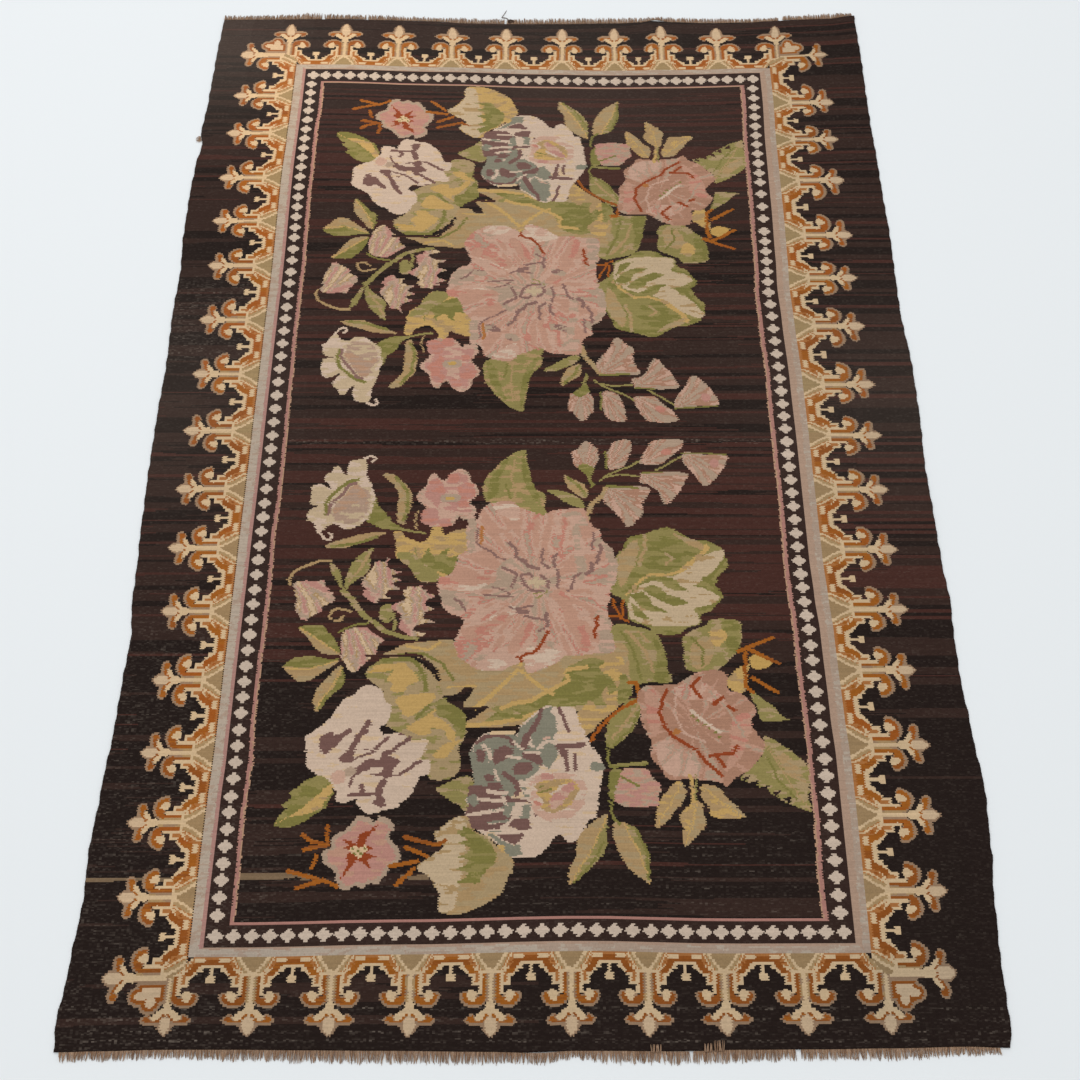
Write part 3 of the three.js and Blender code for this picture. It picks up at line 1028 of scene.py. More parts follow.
@dataclass
class Bouquet:
    """The field's bouquet: a rose, a pansy with a peony, and the flowers round them."""

    c: Cartoon
    at_head: bool = False

    def weave(self) -> None:
        """Weave it from the back to the front, foot last."""
        self.upper_leaves()
        self.pink_flower()
        self.trumpet()
        self.right_bells()
        self.left_bells()
        self.big_leaf()
        self.right_cluster()
        self.middle_mass()
        self.left_complex()
        self.big_rose()
        self.white_flower()
        self.right_rose()
        self.pansy()
        self.low_leaves()
        self.low_flowers()
        self.twigs()

    def upper_leaves(self) -> None:
        """Weave the leaves behind the rose, above and to its left."""
        c = self.c
        c.draw(((Yarn.SAGE, 0.7), (Yarn.TAN, 0.3)), """
            -33,-52 -57,-58 -80,-75 -100,-95 -115,-115 -130,-140 -135,-165 -130,-190 -110,-205 10,-240
            15,-215 15,-180 -10,-160 -20,-120 -28,-80""")
        c.draw(LEAF_GREEN, """
            -36,-58 -28,-100 -15,-140 8,-210 -20,-180 -40,-110; -84,-82 -74,-82 -92,-130 -100,-175
            -122,-195 -120,-150 -102,-110""")
        c.draw(Yarn.TAN, "5 -58,-80 -64,-120 -58,-190; 4 -290,-225 -295,-250 -290,-275")
        c.draw(Yarn.GREEN, "5 -80,-150 -70,-190")
        c.draw(LEAF_GOLD, """
            -342,-282 -322,-282 -314,-296 -281,-310 -258,-293 -250,-260 -242,-254 -231,-260 -228,-277
            -219,-291 -203,-282 -167,-279 -169,-343 -192,-360 -197,-385 -231,-410 -272,-417 -294,-393
            -306,-374 -336,-346 -339,-310""")
        c.draw(LEAF_SAGE, "-336,-340 -300,-338 -262,-368 -225,-408 -272,-417 -306,-374")
        c.draw(LEAF_GREEN, """
            -294,-324 -290,-341 -272,-354 -264,-324 -255,-338 -239,-346 -215,-324 -211,-350 -172,-343
            -192,-360 -197,-385 -211,-396 -267,-371""")

    def pink_flower(self) -> None:
        """Weave the five-lobed pink flower over the rose's shoulder."""
        c = self.c
        c.draw(ROSE_PALE, """
            -248,-118 -240,-130 -225,-138 -215,-120 -205,-112 -190,-105 -175,-112 -165,-125 -160,-145
            -148,-155 -145,-175 -155,-188 -165,-200 -152,-215 -150,-230 -160,-245 -180,-250 -190,-240
            -200,-255 -210,-265 -235,-268 -255,-268 -268,-260 -280,-245 -280,-230 -270,-215 -290,-195
            -295,-180 -285,-165 -272,-155 -265,-130 -258,-120""")
        c.draw(((Yarn.PINK, 0.5), (Yarn.BLUSH, 0.5)), """
            -246,-130 -226,-146 -206,-120 -188,-114 -172,-126 -168,-148 -156,-160 -156,-180 -172,-196
            -160,-216 -166,-236 -188,-234 -208,-246 -236,-258 -258,-256 -270,-238 -262,-218 -284,-188
            -272,-166 -258,-148""")
        c.draw(SALMON_PINK, """
            -261,-138 -239,-135 -228,-157 -228,-177 -242,-216 -256,-199 -275,-182 -272,-168; -217,-124
            -194,-121 -192,-141 -215,-143; -192,-151 -158,-149 -156,-186 -190,-188; -189,-198 -170,-196
            -169,-215 -187,-216; -278,-224 -244,-221 -242,-258 -276,-260; -239,-248 -213,-246 -211,-266
            -237,-268""")
        c.draw(Yarn.GREIGE, "-236,-180 -214,-177 -189,-181 -191,-197 -212,-201 -234,-197")
        c.draw(Yarn.STRAW, "-222,-186 -204,-186 -204,-194 -222,-194")

    def trumpet(self) -> None:
        """Weave the pale trumpet flower at the far left with its calyx and leaves."""
        c = self.c
        c.draw(((Yarn.IVORY, 0.6), (Yarn.PETAL, 0.4)), """
            -465,-95 -460,-82 -440,-78 -425,-76 -418,-100 -418,-120 -405,-145 -400,-170 -393,-195
            -395,-220 -402,-240 -420,-255 -445,-272 -470,-270 -480,-262 -500,-262 -520,-285 -530,-275
            -540,-255 -552,-250 -552,-225 -535,-212 -520,-210 -545,-205 -550,-190 -550,-160 -540,-150
            -525,-150 -500,-162 -510,-148 -518,-135 -515,-122 -505,-115 -498,-100 -485,-100 -478,-115
            -465,-125 -468,-110""")
        c.draw(((Yarn.SHELL_WARM, 0.6), (Yarn.IVORY, 0.4)), """
            -425,-160 -405,-200 -425,-250 -480,-255 -488,-215""")
        c.draw(((Yarn.LINE_PEACH, 0.5), (Yarn.SHELL_WARM, 0.5)), """
            -450,-154 -433,-152 -419,-177 -411,-204 -433,-199 -461,-216 -489,-232 -492,-216 -475,-188""")
        c.draw(Yarn.GREEN, "9 -437,-136 -456,-141 -472,-152 -489,-168 -503,-185 -510,-202 -508,-232")
        c.draw(Yarn.MAUVE, "8 -442,-146 -458,-150 -467,-166 -478,-182 -492,-196 -500,-210 -503,-232")
        c.draw(Yarn.PETAL, """
            6 -428,-75 -419,-71 -408,-68 -400,-74 -403,-82 -408,-85; 6 -525,-279 -514,-291 -506,-302
            -497,-302 -490,-296 -492,-288 -499,-285""")
        c.draw(LEAF_GREEN, """
            -393,-185 -385,-210 -360,-235 -345,-258 -320,-275 -365,-275 -395,-262 -410,-252 -402,-235
            -397,-210""")
        c.draw(LEAF_TAN, """
            -378,-122 -350,-122 -325,-145 -312,-160 -305,-185 -305,-215 -315,-240 -320,-262 -335,-255
            -338,-220 -338,-180 -345,-160 -355,-145; -508,-322 -490,-310 -450,-297 -420,-287 -360,-283
            -385,-297 -420,-312 -455,-325 -490,-327""")
        c.draw(LEAF_GREEN, "9 -345,-130 -318,-165 -312,-215 -322,-250; 8 -490,-322 -440,-315 -385,-296")
        c.draw(Yarn.SAGE, "6 -350,-270 -300,-280 -270,-285")

    def right_bells(self) -> None:
        """Weave the spray of bells at the upper right."""
        c = self.c
        c.draw(LEAF_TAN, """
            12 150,-185 130,-205 118,-235 115,-262; 14 165,-160 150,-185; 65,-122 85,-135 110,-150
            118,-175 115,-188 95,-182 75,-165 67,-145""")
        c.draw(Yarn.SAGE, """
            5 150,-140 165,-125 200,-108 220,-100 250,-82; 5 160,-130 200,-122 245,-128; 5 285,-110
            310,-95 330,-82 350,-70""")
        bells = """
            113,-27 125,-27 135,-40 145,-50 147,-75 140,-95 132,-103 100,-103 88,-98 83,-75 82,-55
            95,-48 102,-38; 190,-27 227,-23 227,-50 220,-75 210,-95 200,-103 175,-108 168,-95
            167,-70 175,-45; 290,-22 355,-22 352,-42 335,-62 315,-78 298,-92 250,-92 252,-75
            260,-55 270,-38; 352,-62 370,-58 400,-65 460,-68 460,-85 450,-105 435,-130 412,-152
            398,-152 385,-130 370,-110 355,-88; 250,-125 262,-116 357,-117 358,-140 345,-165
            325,-190 310,-207 298,-195 288,-170 268,-150 248,-145; 160,-175 175,-160 262,-157
            262,-180 252,-200 252,-232 235,-250 220,-266 207,-266 200,-250 180,-225 158,-195"""
        mouths = read("115,-105 170,-100 255,-90 355,-62 252,-120 165,-160")
        for bell, mouth in zip(bells.split(";"), mouths):
            c.rays(BELL_PINK, bell, tuple(mouth), 3)
        c.spots(Yarn.SALMON, "314,-58", 13, 9)
        c.spots(Yarn.PINK, "430,-90", 12, 12)
        c.draw(LEAF_GREEN, """
            95,-103 110,-90 135,-103 132,-118 128,-135 135,-148 128,-160 122,-140 115,-120; 8 72,-130
            98,-155 112,-182""")
        c.draw(Yarn.GREEN, """
            5 165,-58 165,-105; 4 352,-60 400,-62 458,-66; 6 165,-155 240,-160; 5 254,-118 300,-115""")
        c.draw(LEAF_SAGE, "20,-167 50,-168 80,-178 105,-195 112,-215 90,-212 65,-200 40,-182")

    def left_bells(self) -> None:
        """Weave the spray of buds and bells down the left side."""
        c = self.c
        c.draw(LEAF_SAGE, """
            -393,-325 -397,-350 -395,-375 -405,-395 -430,-415 -448,-435 -452,-415 -448,-395 -440,-370
            -425,-350 -410,-335; -490,-365 -475,-375 -465,-390 -458,-415 -455,-440 -475,-405 -485,-390;
            -360,-478 -340,-475 -337,-500 -345,-520 -360,-520 -368,-495; 14>10 -455,-440 -440,-455
            -425,-475 -405,-500 -380,-520 -350,-545 -310,-558 -280,-562; 8 -335,-500 -330,-540""")
        c.draw(LEAF_TAN, "9>4 -400,-340 -415,-375 -442,-415")
        c.draw(Yarn.TAN, """
            7 -489,-360 -511,-360 -531,-367 -556,-377 -572,-388 -582,-410 -578,-424; 6 -433,-492 -461,-484
            -475,-489 -481,-504 -472,-516 -456,-514 -447,-504""")
        c.leaves(LEAF_DULL, LEAF_GREEN, """
            -550,-532 -520,-528 -495,-530 -480,-545 -460,-575 -455,-600 -490,-600 -510,-585 -525,-565
            -540,-545 / -545,-535 -500,-568 -460,-597; -578,-630 -560,-615 -545,-607 -500,-608 -475,-613
            -450,-612 -465,-630 -490,-648 -515,-665 -540,-668 -555,-655 / -570,-635 -520,-640 -455,-616;
            -445,-628 -437,-650 -438,-680 -455,-695 -475,-718 -498,-742 -503,-725 -498,-690 -480,-665
            -460,-640 / -443,-635 -462,-680 -498,-735""")
        bells = """
            -570,-420 -545,-412 -520,-415 -502,-412 -488,-440 -478,-445 -475,-465 -490,-475
            -500,-480 -500,-490 -515,-500 -530,-512 -540,-517 -550,-505 -560,-490 -565,-460
            -568,-440; -350,-348 -355,-375 -335,-385 -322,-390 -345,-400 -318,-410 -340,-420
            -325,-435 -350,-440 -355,-455 -340,-460 -370,-460 -378,-472 -395,-465 -408,-450
            -405,-435 -412,-415 -400,-395 -388,-375 -380,-362 -362,-362; -265,-425 -285,-430
            -305,-430 -315,-445 -310,-460 -335,-475 -340,-482 -325,-495 -315,-505 -320,-520
            -320,-535 -305,-545 -295,-555 -265,-555 -262,-548 -285,-540 -275,-525 -240,-520
            -262,-510 -262,-495 -240,-488 -258,-478 -262,-465 -240,-452 -262,-445 -255,-438
            -275,-435; -430,-537 -400,-532 -385,-540 -375,-550 -360,-560 -352,-568 -365,-580
            -372,-600 -390,-620 -410,-645 -425,-640 -440,-620 -450,-600 -452,-570 -450,-550"""
        for bell in bells.split(";"):
            x, y = read(bell)[0]
            c.rays(BELL_GREIGE, bell, (x - 20, y + 60), 5)
        c.draw(Yarn.GREEN, "6 -455,-545 -425,-527 -395,-522")

    def big_leaf(self) -> None:
        """Weave the broad leaf at the right, ivory below its midrib."""
        c = self.c
        c.draw(LEAF_DEEP, """
            295,-272 260,-285 215,-298 200,-325 185,-350 185,-390 165,-440 190,-460 205,-480 208,-505
            215,-520 255,-535 270,-550 320,-552 345,-535 370,-525 378,-500 400,-490 420,-465 428,-445
            405,-425 425,-400 445,-375 442,-350 430,-325 400,-308 370,-305 345,-290 315,-272""")
        c.draw(((Yarn.IVORY, 0.88), (Yarn.TAN, 0.12)), """
            433,-332 438,-355 415,-385 385,-410 375,-425 400,-440 418,-455 400,-475 360,-485 370,-505
            365,-525 330,-532 260,-530 230,-522 212,-505 208,-470 215,-448 240,-425 270,-405 310,-402
            345,-385 385,-350""")
        c.draw(LEAF_GREEN, """
            | 232,-428 262,-404 312,-404 322,-412 332,-428 352,-442 322,-440 300,-434 292,-420 270,-412;
            | 240,-434 268,-424 284,-432 300,-450 322,-458 348,-472 318,-480 290,-470 268,-458; | 210,-452
            240,-440 256,-456 262,-474 282,-484 300,-496 262,-494 238,-482; | 214,-468 236,-488 250,-504
            264,-518 240,-512 222,-504; | 385,-405 410,-398 420,-412 402,-440 380,-432 362,-428 378,-420""")
        c.draw(LEAF_DULL, """
            210,-320 232,-304 236,-340 226,-372 196,-430 186,-400 190,-350; 318,-285 345,-296 385,-312
            392,-330 372,-326 340,-306; 9 252,-292 250,-330 236,-372; 6 300,-340 318,-352 300,-370""")
        c.draw(LEAF_GOLD, """
            12 398,-322 388,-340 352,-372 334,-388; 7 340,-386 300,-398 262,-396 240,-412 205,-450""")
        c.draw(Yarn.GREEN, "8 440,-355 400,-410 412,-430 425,-450")
        c.draw(None, "163,-445 180,-455 190,-480 195,-500 190,-525 165,-515 162,-480")
        c.draw(Yarn.RUST_GOLD, "6 170,-462 190,-510 205,-520; 6 195,-465 195,-500; 6 165,-505 195,-505")

    def right_cluster(self) -> None:
        """Weave the two leaf blocks under the broad leaf."""
        c = self.c
        c.draw(LEAF_SAGE, """
            165,-540 185,-525 210,-530 255,-540 275,-560 285,-590 295,-640 300,-670 240,-672 170,-690
            150,-640 160,-590; 330,-590 330,-560 350,-545 380,-530 400,-512 460,-520 463,-565 455,-590
            430,-620 400,-645 365,-645 335,-635""")
        c.draw(LEAF_GREEN, """
            262,-560 285,-592 296,-640 298,-668 262,-668 270,-620; 420,-520 458,-522 462,-565 452,-592
            432,-610 428,-560""")
        c.draw(LEAF_TAN, """
            168,-590 190,-570 204,-600 206,-650 190,-668 178,-690 156,-640; 345,-600 352,-575 380,-560
            400,-575 396,-610 370,-638 350,-630""")
        c.draw(Yarn.TAN, "9>6 205,-545 225,-570 240,-590 255,-620 262,-645; 6 230,-545 250,-570")
        c.draw(Yarn.GREEN, "7 190,-545 210,-580 225,-620 232,-660; 6 350,-560 375,-590 372,-630")
        c.draw(LEAF_GOLD, "392,-545 424,-540 430,-560 412,-582 396,-572")

    def big_rose(self) -> None:
        """Weave the big rose: petals in rays, and the strokes that part them."""
        c = self.c
        heart = (-5, -418)
        c.rays(ROSE_WARM, """
            -80,-198 -60,-200 -45,-215 -20,-225 10,-238 30,-225 60,-220 110,-218 125,-262 148,-280
            150,-305 165,-318 180,-345 185,-370 180,-400 170,-425 165,-455 160,-500 170,-530 165,-560
            175,-580 165,-598 130,-600 95,-605 60,-605 50,-615 20,-635 -5,-645 -25,-645 -35,-620 -80,-640
            -130,-640 -160,-625 -185,-600 -192,-570 -180,-540 -175,-510 -205,-498 -225,-470 -235,-420
            -228,-403 -205,-395 -195,-370 -185,-345 -168,-330 -165,-290 -160,-265 -145,-245 -135,-220
            -115,-205""", heart, 4)
        c.rays(ROSE_PALE, """
            -150,-610 -90,-585 -30,-575 30,-570 60,-600 20,-632 -25,-640 -34,-618 -80,-636""", heart, 5)
        c.draw(PETAL_PALE, """
            -140,-620 -110,-612 -80,-616 -72,-639 -130,-641; -32,-592 0,-584 55,-596 50,-614 5,-640
            -25,-645; -110,-213 -70,-206 -45,-216 -48,-250 -74,-244 -95,-228; -60,-476 -44,-492 -110,-530
            -165,-552 -160,-532 -110,-508; -196,-428 -130,-418 -118,-426 -150,-438 -196,-436""")
        c.rays(ROSE_DEEP, """
            -228,-404 -180,-397 -120,-402 -112,-416 -150,-424 -200,-420 -232,-422; -80,-494 -68,-510
            -120,-548 -160,-566 -175,-540 -120,-520; 48,-452 62,-446 100,-520 120,-585 96,-590 70,-530;
            -30,-520 -10,-530 -40,-585 -64,-600 -70,-580""", heart, 6)
        c.draw(PETAL_DULL, """
            -168,-250 -152,-240 -150,-290 -152,-335 -170,-330; 82,-270 96,-262 108,-320 112,-400 94,-405
            86,-340; 150,-312 168,-322 186,-365 180,-420 160,-425 166,-370; 132,-495 160,-500 168,-545
            172,-590 140,-598 138,-545; -228,-438 -190,-440 -165,-450 -168,-490 -200,-500 -222,-475;
            60,-232 100,-228 116,-262 92,-262 70,-250""")
        c.rays(((Yarn.GREIGE, 0.45), (Yarn.BLUSH, 0.4), (Yarn.ROSE, 0.15)), """
            -96,-380 -60,-350 -20,-352 20,-362 46,-385 44,-430 24,-452 16,-500 -6,-530 -30,-500 -70,-470
            -120,-455 -150,-440 -100,-415""", heart, 7)
        c.draw(Yarn.APRICOT, "9>7 -134,-268 -136,-312")
        c.draw(Yarn.SALMON, "9>5 64,-246 60,-290 50,-346; 6 -12,-247 6,-234")
        for x, y in read("-213,-420 -175,-600 -100,-590"):
            c.line(Yarn.SALMON, f"{x - 6},{y - 5} {x + 5},{y + 5}", 4)
        c.spots(Yarn.SALMON, "-18,-268", 8, 12)
        c.draw(Yarn.MAUVE, """
            5 -143,-272 -147,-310 -135,-325 -110,-338 -95,-350 -78,-358; 9 -68,-312 -60,-322 -52,-335
            -50,-350 -42,-358 -30,-362 -25,-375 0,-382; 7 -85,-378 -65,-388 -50,-395; 7 -50,-400 -62,-430;
            7 10,-330 10,-368 25,-380; 8 45,-343 38,-352 38,-375; 7 45,-385 48,-400 45,-430; 6 132,-285
            132,-300 125,-328; 9 147,-318 145,-345 138,-365; 11 125,-368 125,-385 114,-393; 7 100,-393
            85,-402 80,-425 70,-440; 4 -108,-430 -85,-436 -65,-448; 5 -125,-450 -60,-455; 6 -198,-460
            -180,-470 -168,-490; 5 -68,-480 -55,-486 -10,-478; 12 -46,-492 -26,-494; 6 -30,-505 15,-515;
            9 20,-498 20,-530; 5 0,-545 15,-535; 8 -40,-402 -34,-420 -24,-432; 7 -36,-398 -18,-396
            -12,-404; 8 6,-400 16,-408 24,-418 22,-430; 6 -24,-436 -6,-441 12,-439""")
        c.draw(Yarn.FLAME, """
            7 22,-545 12,-560 8,-575 -3,-588 -15,-598 -30,-600 -38,-608 -38,-618; 5 -48,-606 -40,-610;
            8 140,-507 130,-518 135,-530 128,-545 128,-558""")
        c.draw(Yarn.IVORY, """
            -24,-411 -10,-411 -9,-403 2,-403 3,-411 15,-411 15,-424 3,-425 2,-432 -9,-432 -10,-424
            -24,-424""")
        c.draw(Yarn.SAGE, "3 -10,-446 5,-443; 3 -8,-458 10,-450 22,-438")
        if self.at_head:
            dull = ((Yarn.GREIGE, 0.6), (Yarn.MAUVE, 0.4))
            c.spots(dull, "-110,-300 -60,-270 70,-300 -150,-480 60,-480", 22, 10, 20)
            c.spots(Yarn.SALMON, "-120,-378 -90,-508 95,-338 30,-308", 10, 8)

    def middle_mass(self) -> None:
        """Weave the mottled leaves between the rose and the pansy."""
        c = self.c
        c.draw(LEAF_DULL, """
            -215,-600 -250,-650 -215,-700 -172,-685 -145,-683 -150,-700 -168,-730 -115,-728 -135,-750
            -162,-775 -40,-773 0,-735 90,-740 84,-750 88,-765 95,-790 105,-800 118,-790 150,-755 180,-725
            212,-700 205,-650 185,-600 175,-572 120,-572 60,-590 20,-610 -40,-600 -150,-600; -355,-600
            -330,-590 -300,-575 -250,-568 -195,-566 -185,-600 -160,-625 -170,-690 -215,-700 -235,-655
            -262,-630 -290,-612 -345,-612""")
        c.draw(LEAF_DEEP, """
            -118,-768 -90,-742 -62,-724 -20,-716 6,-700 40,-680 60,-655 75,-628 130,-612 190,-645 212,-690
            200,-715 170,-725 100,-724 60,-732 0,-734 -40,-760""")
        c.draw(LEAF_GREEN, """
            75,-641 126,-624 155,-647 172,-670 155,-684 141,-704 126,-713 98,-719 86,-716 41,-724 -2,-721
            6,-710 41,-690 64,-670""")
        c.draw(LEAF_SAGE, """
            14 -100,-732 -60,-745 -20,-760; 150,-810 152,-780 165,-750 200,-715 232,-712 225,-750 205,-790
            175,-820 155,-828""")
        c.draw(Yarn.GOLD, """
            10 112,-633 69,-639 64,-650 69,-664 41,-684 4,-704 -16,-716 -51,-721 -85,-733; 12>8 -142,-731
            -100,-700 -70,-668 -45,-640; 9 -42,-618 -40,-640 -20,-660 10,-684 36,-700; 12>8 -155,-774
            -90,-768 -40,-758 0,-740; 7 -300,-582 -250,-590 -225,-572; 4 -202,-681 -139,-679""")
        c.draw(((Yarn.TAN, 0.75), (Yarn.GOLD, 0.25)), """
            84,-750 98,-730 121,-713 128,-735 150,-730 146,-700 155,-680 163,-700 180,-690 176,-730
            150,-755 118,-790 105,-800 95,-790 88,-765""")
        c.draw(Yarn.TAN, "6 222,-725 195,-765 165,-805; 8>5 -120,-640 -60,-628 0,-650 50,-668")
        c.draw(Yarn.GREEN, """
            6 230,-722 208,-780 168,-822; 9>6 70,-648 100,-662 128,-660 152,-680; 7 -330,-604 -260,-600
            -215,-625 -190,-665""")
        c.draw(((Yarn.TAN, 0.55), (Yarn.GOLD, 0.45)), """
            141,-636 152,-619 172,-604 192,-610 195,-627 201,-644 184,-656 184,-676 178,-684 166,-659
            152,-650""")
        c.draw(Yarn.RUST_GOLD, """
            9 205,-672 222,-672 226,-690 228,-712; 8 228,-712 212,-719 184,-733 161,-753 135,-781 118,-810""")
        c.draw(Yarn.SOOT, "12>8 -300,-604 -262,-620 -238,-640 -222,-664")
        c.draw(LEAF_GREEN, "10 -82,-750 -39,-753")
        c.draw(None, "8>3 -165,-733 -115,-730")

    def left_complex(self) -> None:
        """Weave the big toothed leaf at the lower left of the rose."""
        c = self.c
        c.draw(((Yarn.SAND, 0.7), (Yarn.SAGE, 0.3)), """
            -388,-655 -375,-628 -345,-612 -290,-612 -262,-630 -235,-655 -215,-690 -205,-715 -175,-750
            -163,-775 -160,-800 -175,-830 -172,-867 -180,-890 -205,-900 -232,-900 -240,-892 -300,-800
            -350,-760 -345,-700 -360,-680""")
        c.draw(Yarn.GREEN, """
            10 -352,-615 -287,-615 -270,-630 -255,-655 -250,-690; 8 -245,-725 -255,-735 -272,-757""")
        c.draw(LEAF_GREEN, """
            -227,-720 -205,-707 -197,-720 -167,-742 -160,-757 -162,-797 -167,-805 -182,-785 -202,-760
            -225,-750""")
        c.draw(Yarn.GOLD, """
            -372,-637 -360,-626 -330,-625 -307,-622 -295,-632 -280,-645 -267,-665 -290,-677 -297,-690
            -315,-695 -330,-690 -327,-675 -340,-665 -335,-652 -325,-640 -345,-642; -315,-710 -300,-702
            -232,-697 -232,-715 -252,-725 -270,-740 -282,-752 -300,-750 -317,-722; -292,-780 -265,-760
            -245,-745 -229,-732 -235,-750 -215,-760 -197,-775 -185,-790 -180,-800 -185,-810 -197,-805
            -210,-785 -237,-780 -242,-795 -265,-796; -232,-842 -215,-825 -200,-815 -167,-807 -190,-830
            -205,-850 -230,-849""")
        c.draw(Yarn.STRAW, "6 -380,-645 -335,-640")
        c.draw(None, "7 -390,-605 -267,-605 -225,-645")

    def white_flower(self) -> None:
        """Weave the white flower at the lower left, with its plum strokes and its leaf."""
        c = self.c
        c.draw(PALE_PETAL, """
            -375,-677 -397,-685 -410,-700 -430,-710 -440,-720 -455,-735 -460,-752 -477,-772 -511,-797
            -510,-822 -511,-842 -509,-867 -490,-885 -465,-900 -442,-920 -437,-930 -435,-945 -430,-951
            -410,-951 -390,-942 -390,-955 -377,-970 -367,-977 -345,-976 -335,-970 -307,-965 -295,-952
            -280,-942 -271,-927 -261,-902 -257,-892 -240,-887 -239,-857 -259,-852 -245,-825 -245,-807
            -280,-810 -295,-794 -330,-792 -342,-794 -351,-777 -337,-767 -330,-750 -331,-725 -342,-712
            -347,-695 -352,-687""")
        c.draw(Yarn.PLUM, """
            | -481,-800 -465,-789 -457,-789 -450,-796 -442,-795 -425,-782 -414,-779 -412,-786 -426,-800
            -434,-810 -440,-822 -455,-830 -465,-842 -472,-842 -477,-830 -481,-820; | -381,-759 -372,-759
            -372,-772 -379,-780 -375,-787 -386,-797 -392,-812 -400,-825 -407,-847 -400,-854 -410,-861
            -432,-860 -441,-852 -425,-837 -417,-830 -405,-810 -402,-795 -392,-780; | -380,-856 -368,-852
            -350,-855 -346,-847 -335,-835 -330,-845 -312,-850 -302,-856 -315,-870 -320,-875 -320,-890
            -330,-898 -342,-892 -350,-885 -342,-876 -338,-871 -365,-872 -372,-879 -385,-880 -390,-887
            -405,-896 -402,-885 -405,-875 -390,-867; | -350,-945 -330,-945 -329,-962 -345,-963 -356,-955;
            8>5 -329,-802 -340,-812 -352,-825 -365,-837 -375,-841 -398,-850; 4 -386,-829 -376,-830;
            9 -282,-803 -295,-815 -305,-820 -315,-830 -325,-837 -340,-840; 4 -306,-794 -296,-795;
            4 -367,-887 -340,-889; 4 -330,-891 -300,-889; 8 -259,-859 -272,-862 -277,-870 -289,-877
            -302,-886; 16 -338,-906 -346,-930; 8 -407,-935 -350,-932; 9 -385,-914 -378,-923 -384,-930;
            13 -344,-930 -341,-942 -335,-948; 6 -405,-895 -410,-915""")
        c.draw(Yarn.BLUSH, "-452,-890 -440,-878 -428,-880 -420,-895 -428,-908 -445,-908")
        c.draw(Yarn.GREIGE, "-424,-878 -412,-870 -398,-878 -404,-890 -418,-892")
        c.draw(LEAF_GREEN, """
            -470,-892 -505,-900 -527,-920 -540,-930 -530,-940 -552,-960 -542,-965 -552,-975 -565,-1000
            -550,-1007 -515,-1000 -457,-960 -445,-920""")
        c.draw(LEAF_GOLD, """
            -565,-1002 -520,-972 -482,-940 -455,-910 -445,-920 -465,-960 -480,-970 -505,-980 -540,-985""")

    def right_rose(self) -> None:
        """Weave the smaller rose at the lower right, with its leaves and its buds."""
        c = self.c
        heart = (345, -775)
        c.leaves(LEAF_SAGE, LEAF_SAGE, """
            500,-800 530,-815 560,-840 585,-865 590,-900 585,-940 587,-972 565,-965 540,-955 510,-935
            480,-915 455,-905 440,-898 455,-880 480,-855 498,-830 / 498,-812 530,-880 583,-968""", Yarn.TAN)
        c.draw(LEAF_DULL, "520,-830 560,-858 575,-885 560,-900 530,-870")
        c.draw(Yarn.GREEN, "5 500,-850 520,-900 560,-945")
        c.draw(None, """
            | 442,-897 452,-903 462,-890; | 462,-906 474,-916 480,-900; | 484,-917 497,-926 502,-910;
            | 506,-929 520,-940 524,-924; | 530,-943 545,-955 549,-939""")
        c.draw(Yarn.TAN, "4 520,-850 560,-870; 4 535,-885 580,-905")
        c.draw(LEAF_SAGE, "478,-690 500,-705 525,-730 545,-755 560,-762 500,-765 490,-745 485,-720")
        c.draw(LEAF_GOLD, "425,-665 450,-640 480,-625 475,-650 468,-690 445,-695 430,-680")
        c.draw(Yarn.STRAW, "480,-610 500,-603 525,-618 525,-632 500,-638 482,-630")
        c.rays(DUSK_ROSE, """
            225,-700 235,-685 250,-678 285,-678 310,-675 335,-660 365,-645 400,-640 425,-650 430,-690
            455,-695 475,-715 485,-745 470,-765 480,-790 500,-815 495,-835 475,-860 455,-880 430,-895
            410,-915 395,-905 355,-900 330,-898 285,-900 270,-880 250,-855 245,-840 252,-815 235,-785
            228,-760 225,-730""", heart, 8)
        c.rays(ROSE_DEEP, """
            240,-700 262,-690 275,-740 262,-800 245,-780; 430,-760 468,-745 470,-790 440,-850 405,-880
            425,-820""", heart, 9)
        c.rays(ROSE_WARM, "300,-690 360,-668 410,-700 420,-735 380,-715 330,-712", heart, 9)
        c.rays(ROSE_PALE, "262,-820 300,-812 350,-860 352,-890 290,-890 262,-860", heart, 9)
        c.draw(Yarn.BLUSH, "5 315,-690 300,-740 320,-790 370,-815")
        c.draw(Yarn.GREIGE, "5 385,-690 430,-750 455,-800")
        c.draw(Yarn.FLAME, """
            8 290,-690 268,-740 280,-780 300,-800 345,-830 365,-860 400,-890; 8 375,-845 425,-840
            440,-822; 8 390,-850 405,-870; 8 365,-660 345,-680 368,-708; 8 415,-708 390,-725; 8 420,-730
            435,-738""")
        c.spots(Yarn.APRICOT, "305,-790", 9, 7)
        c.draw(Yarn.PETAL, "7 338,-738 400,-792")
        count, across, down = 6, 12, 10
        for k in range(count):
            x, y = 342 + across * k, -752 - down * k
            c.patch(Yarn.GREEN, f"{x - 5},{y} {x},{y + 4} {x + 5},{y} {x},{y - 4}", True)

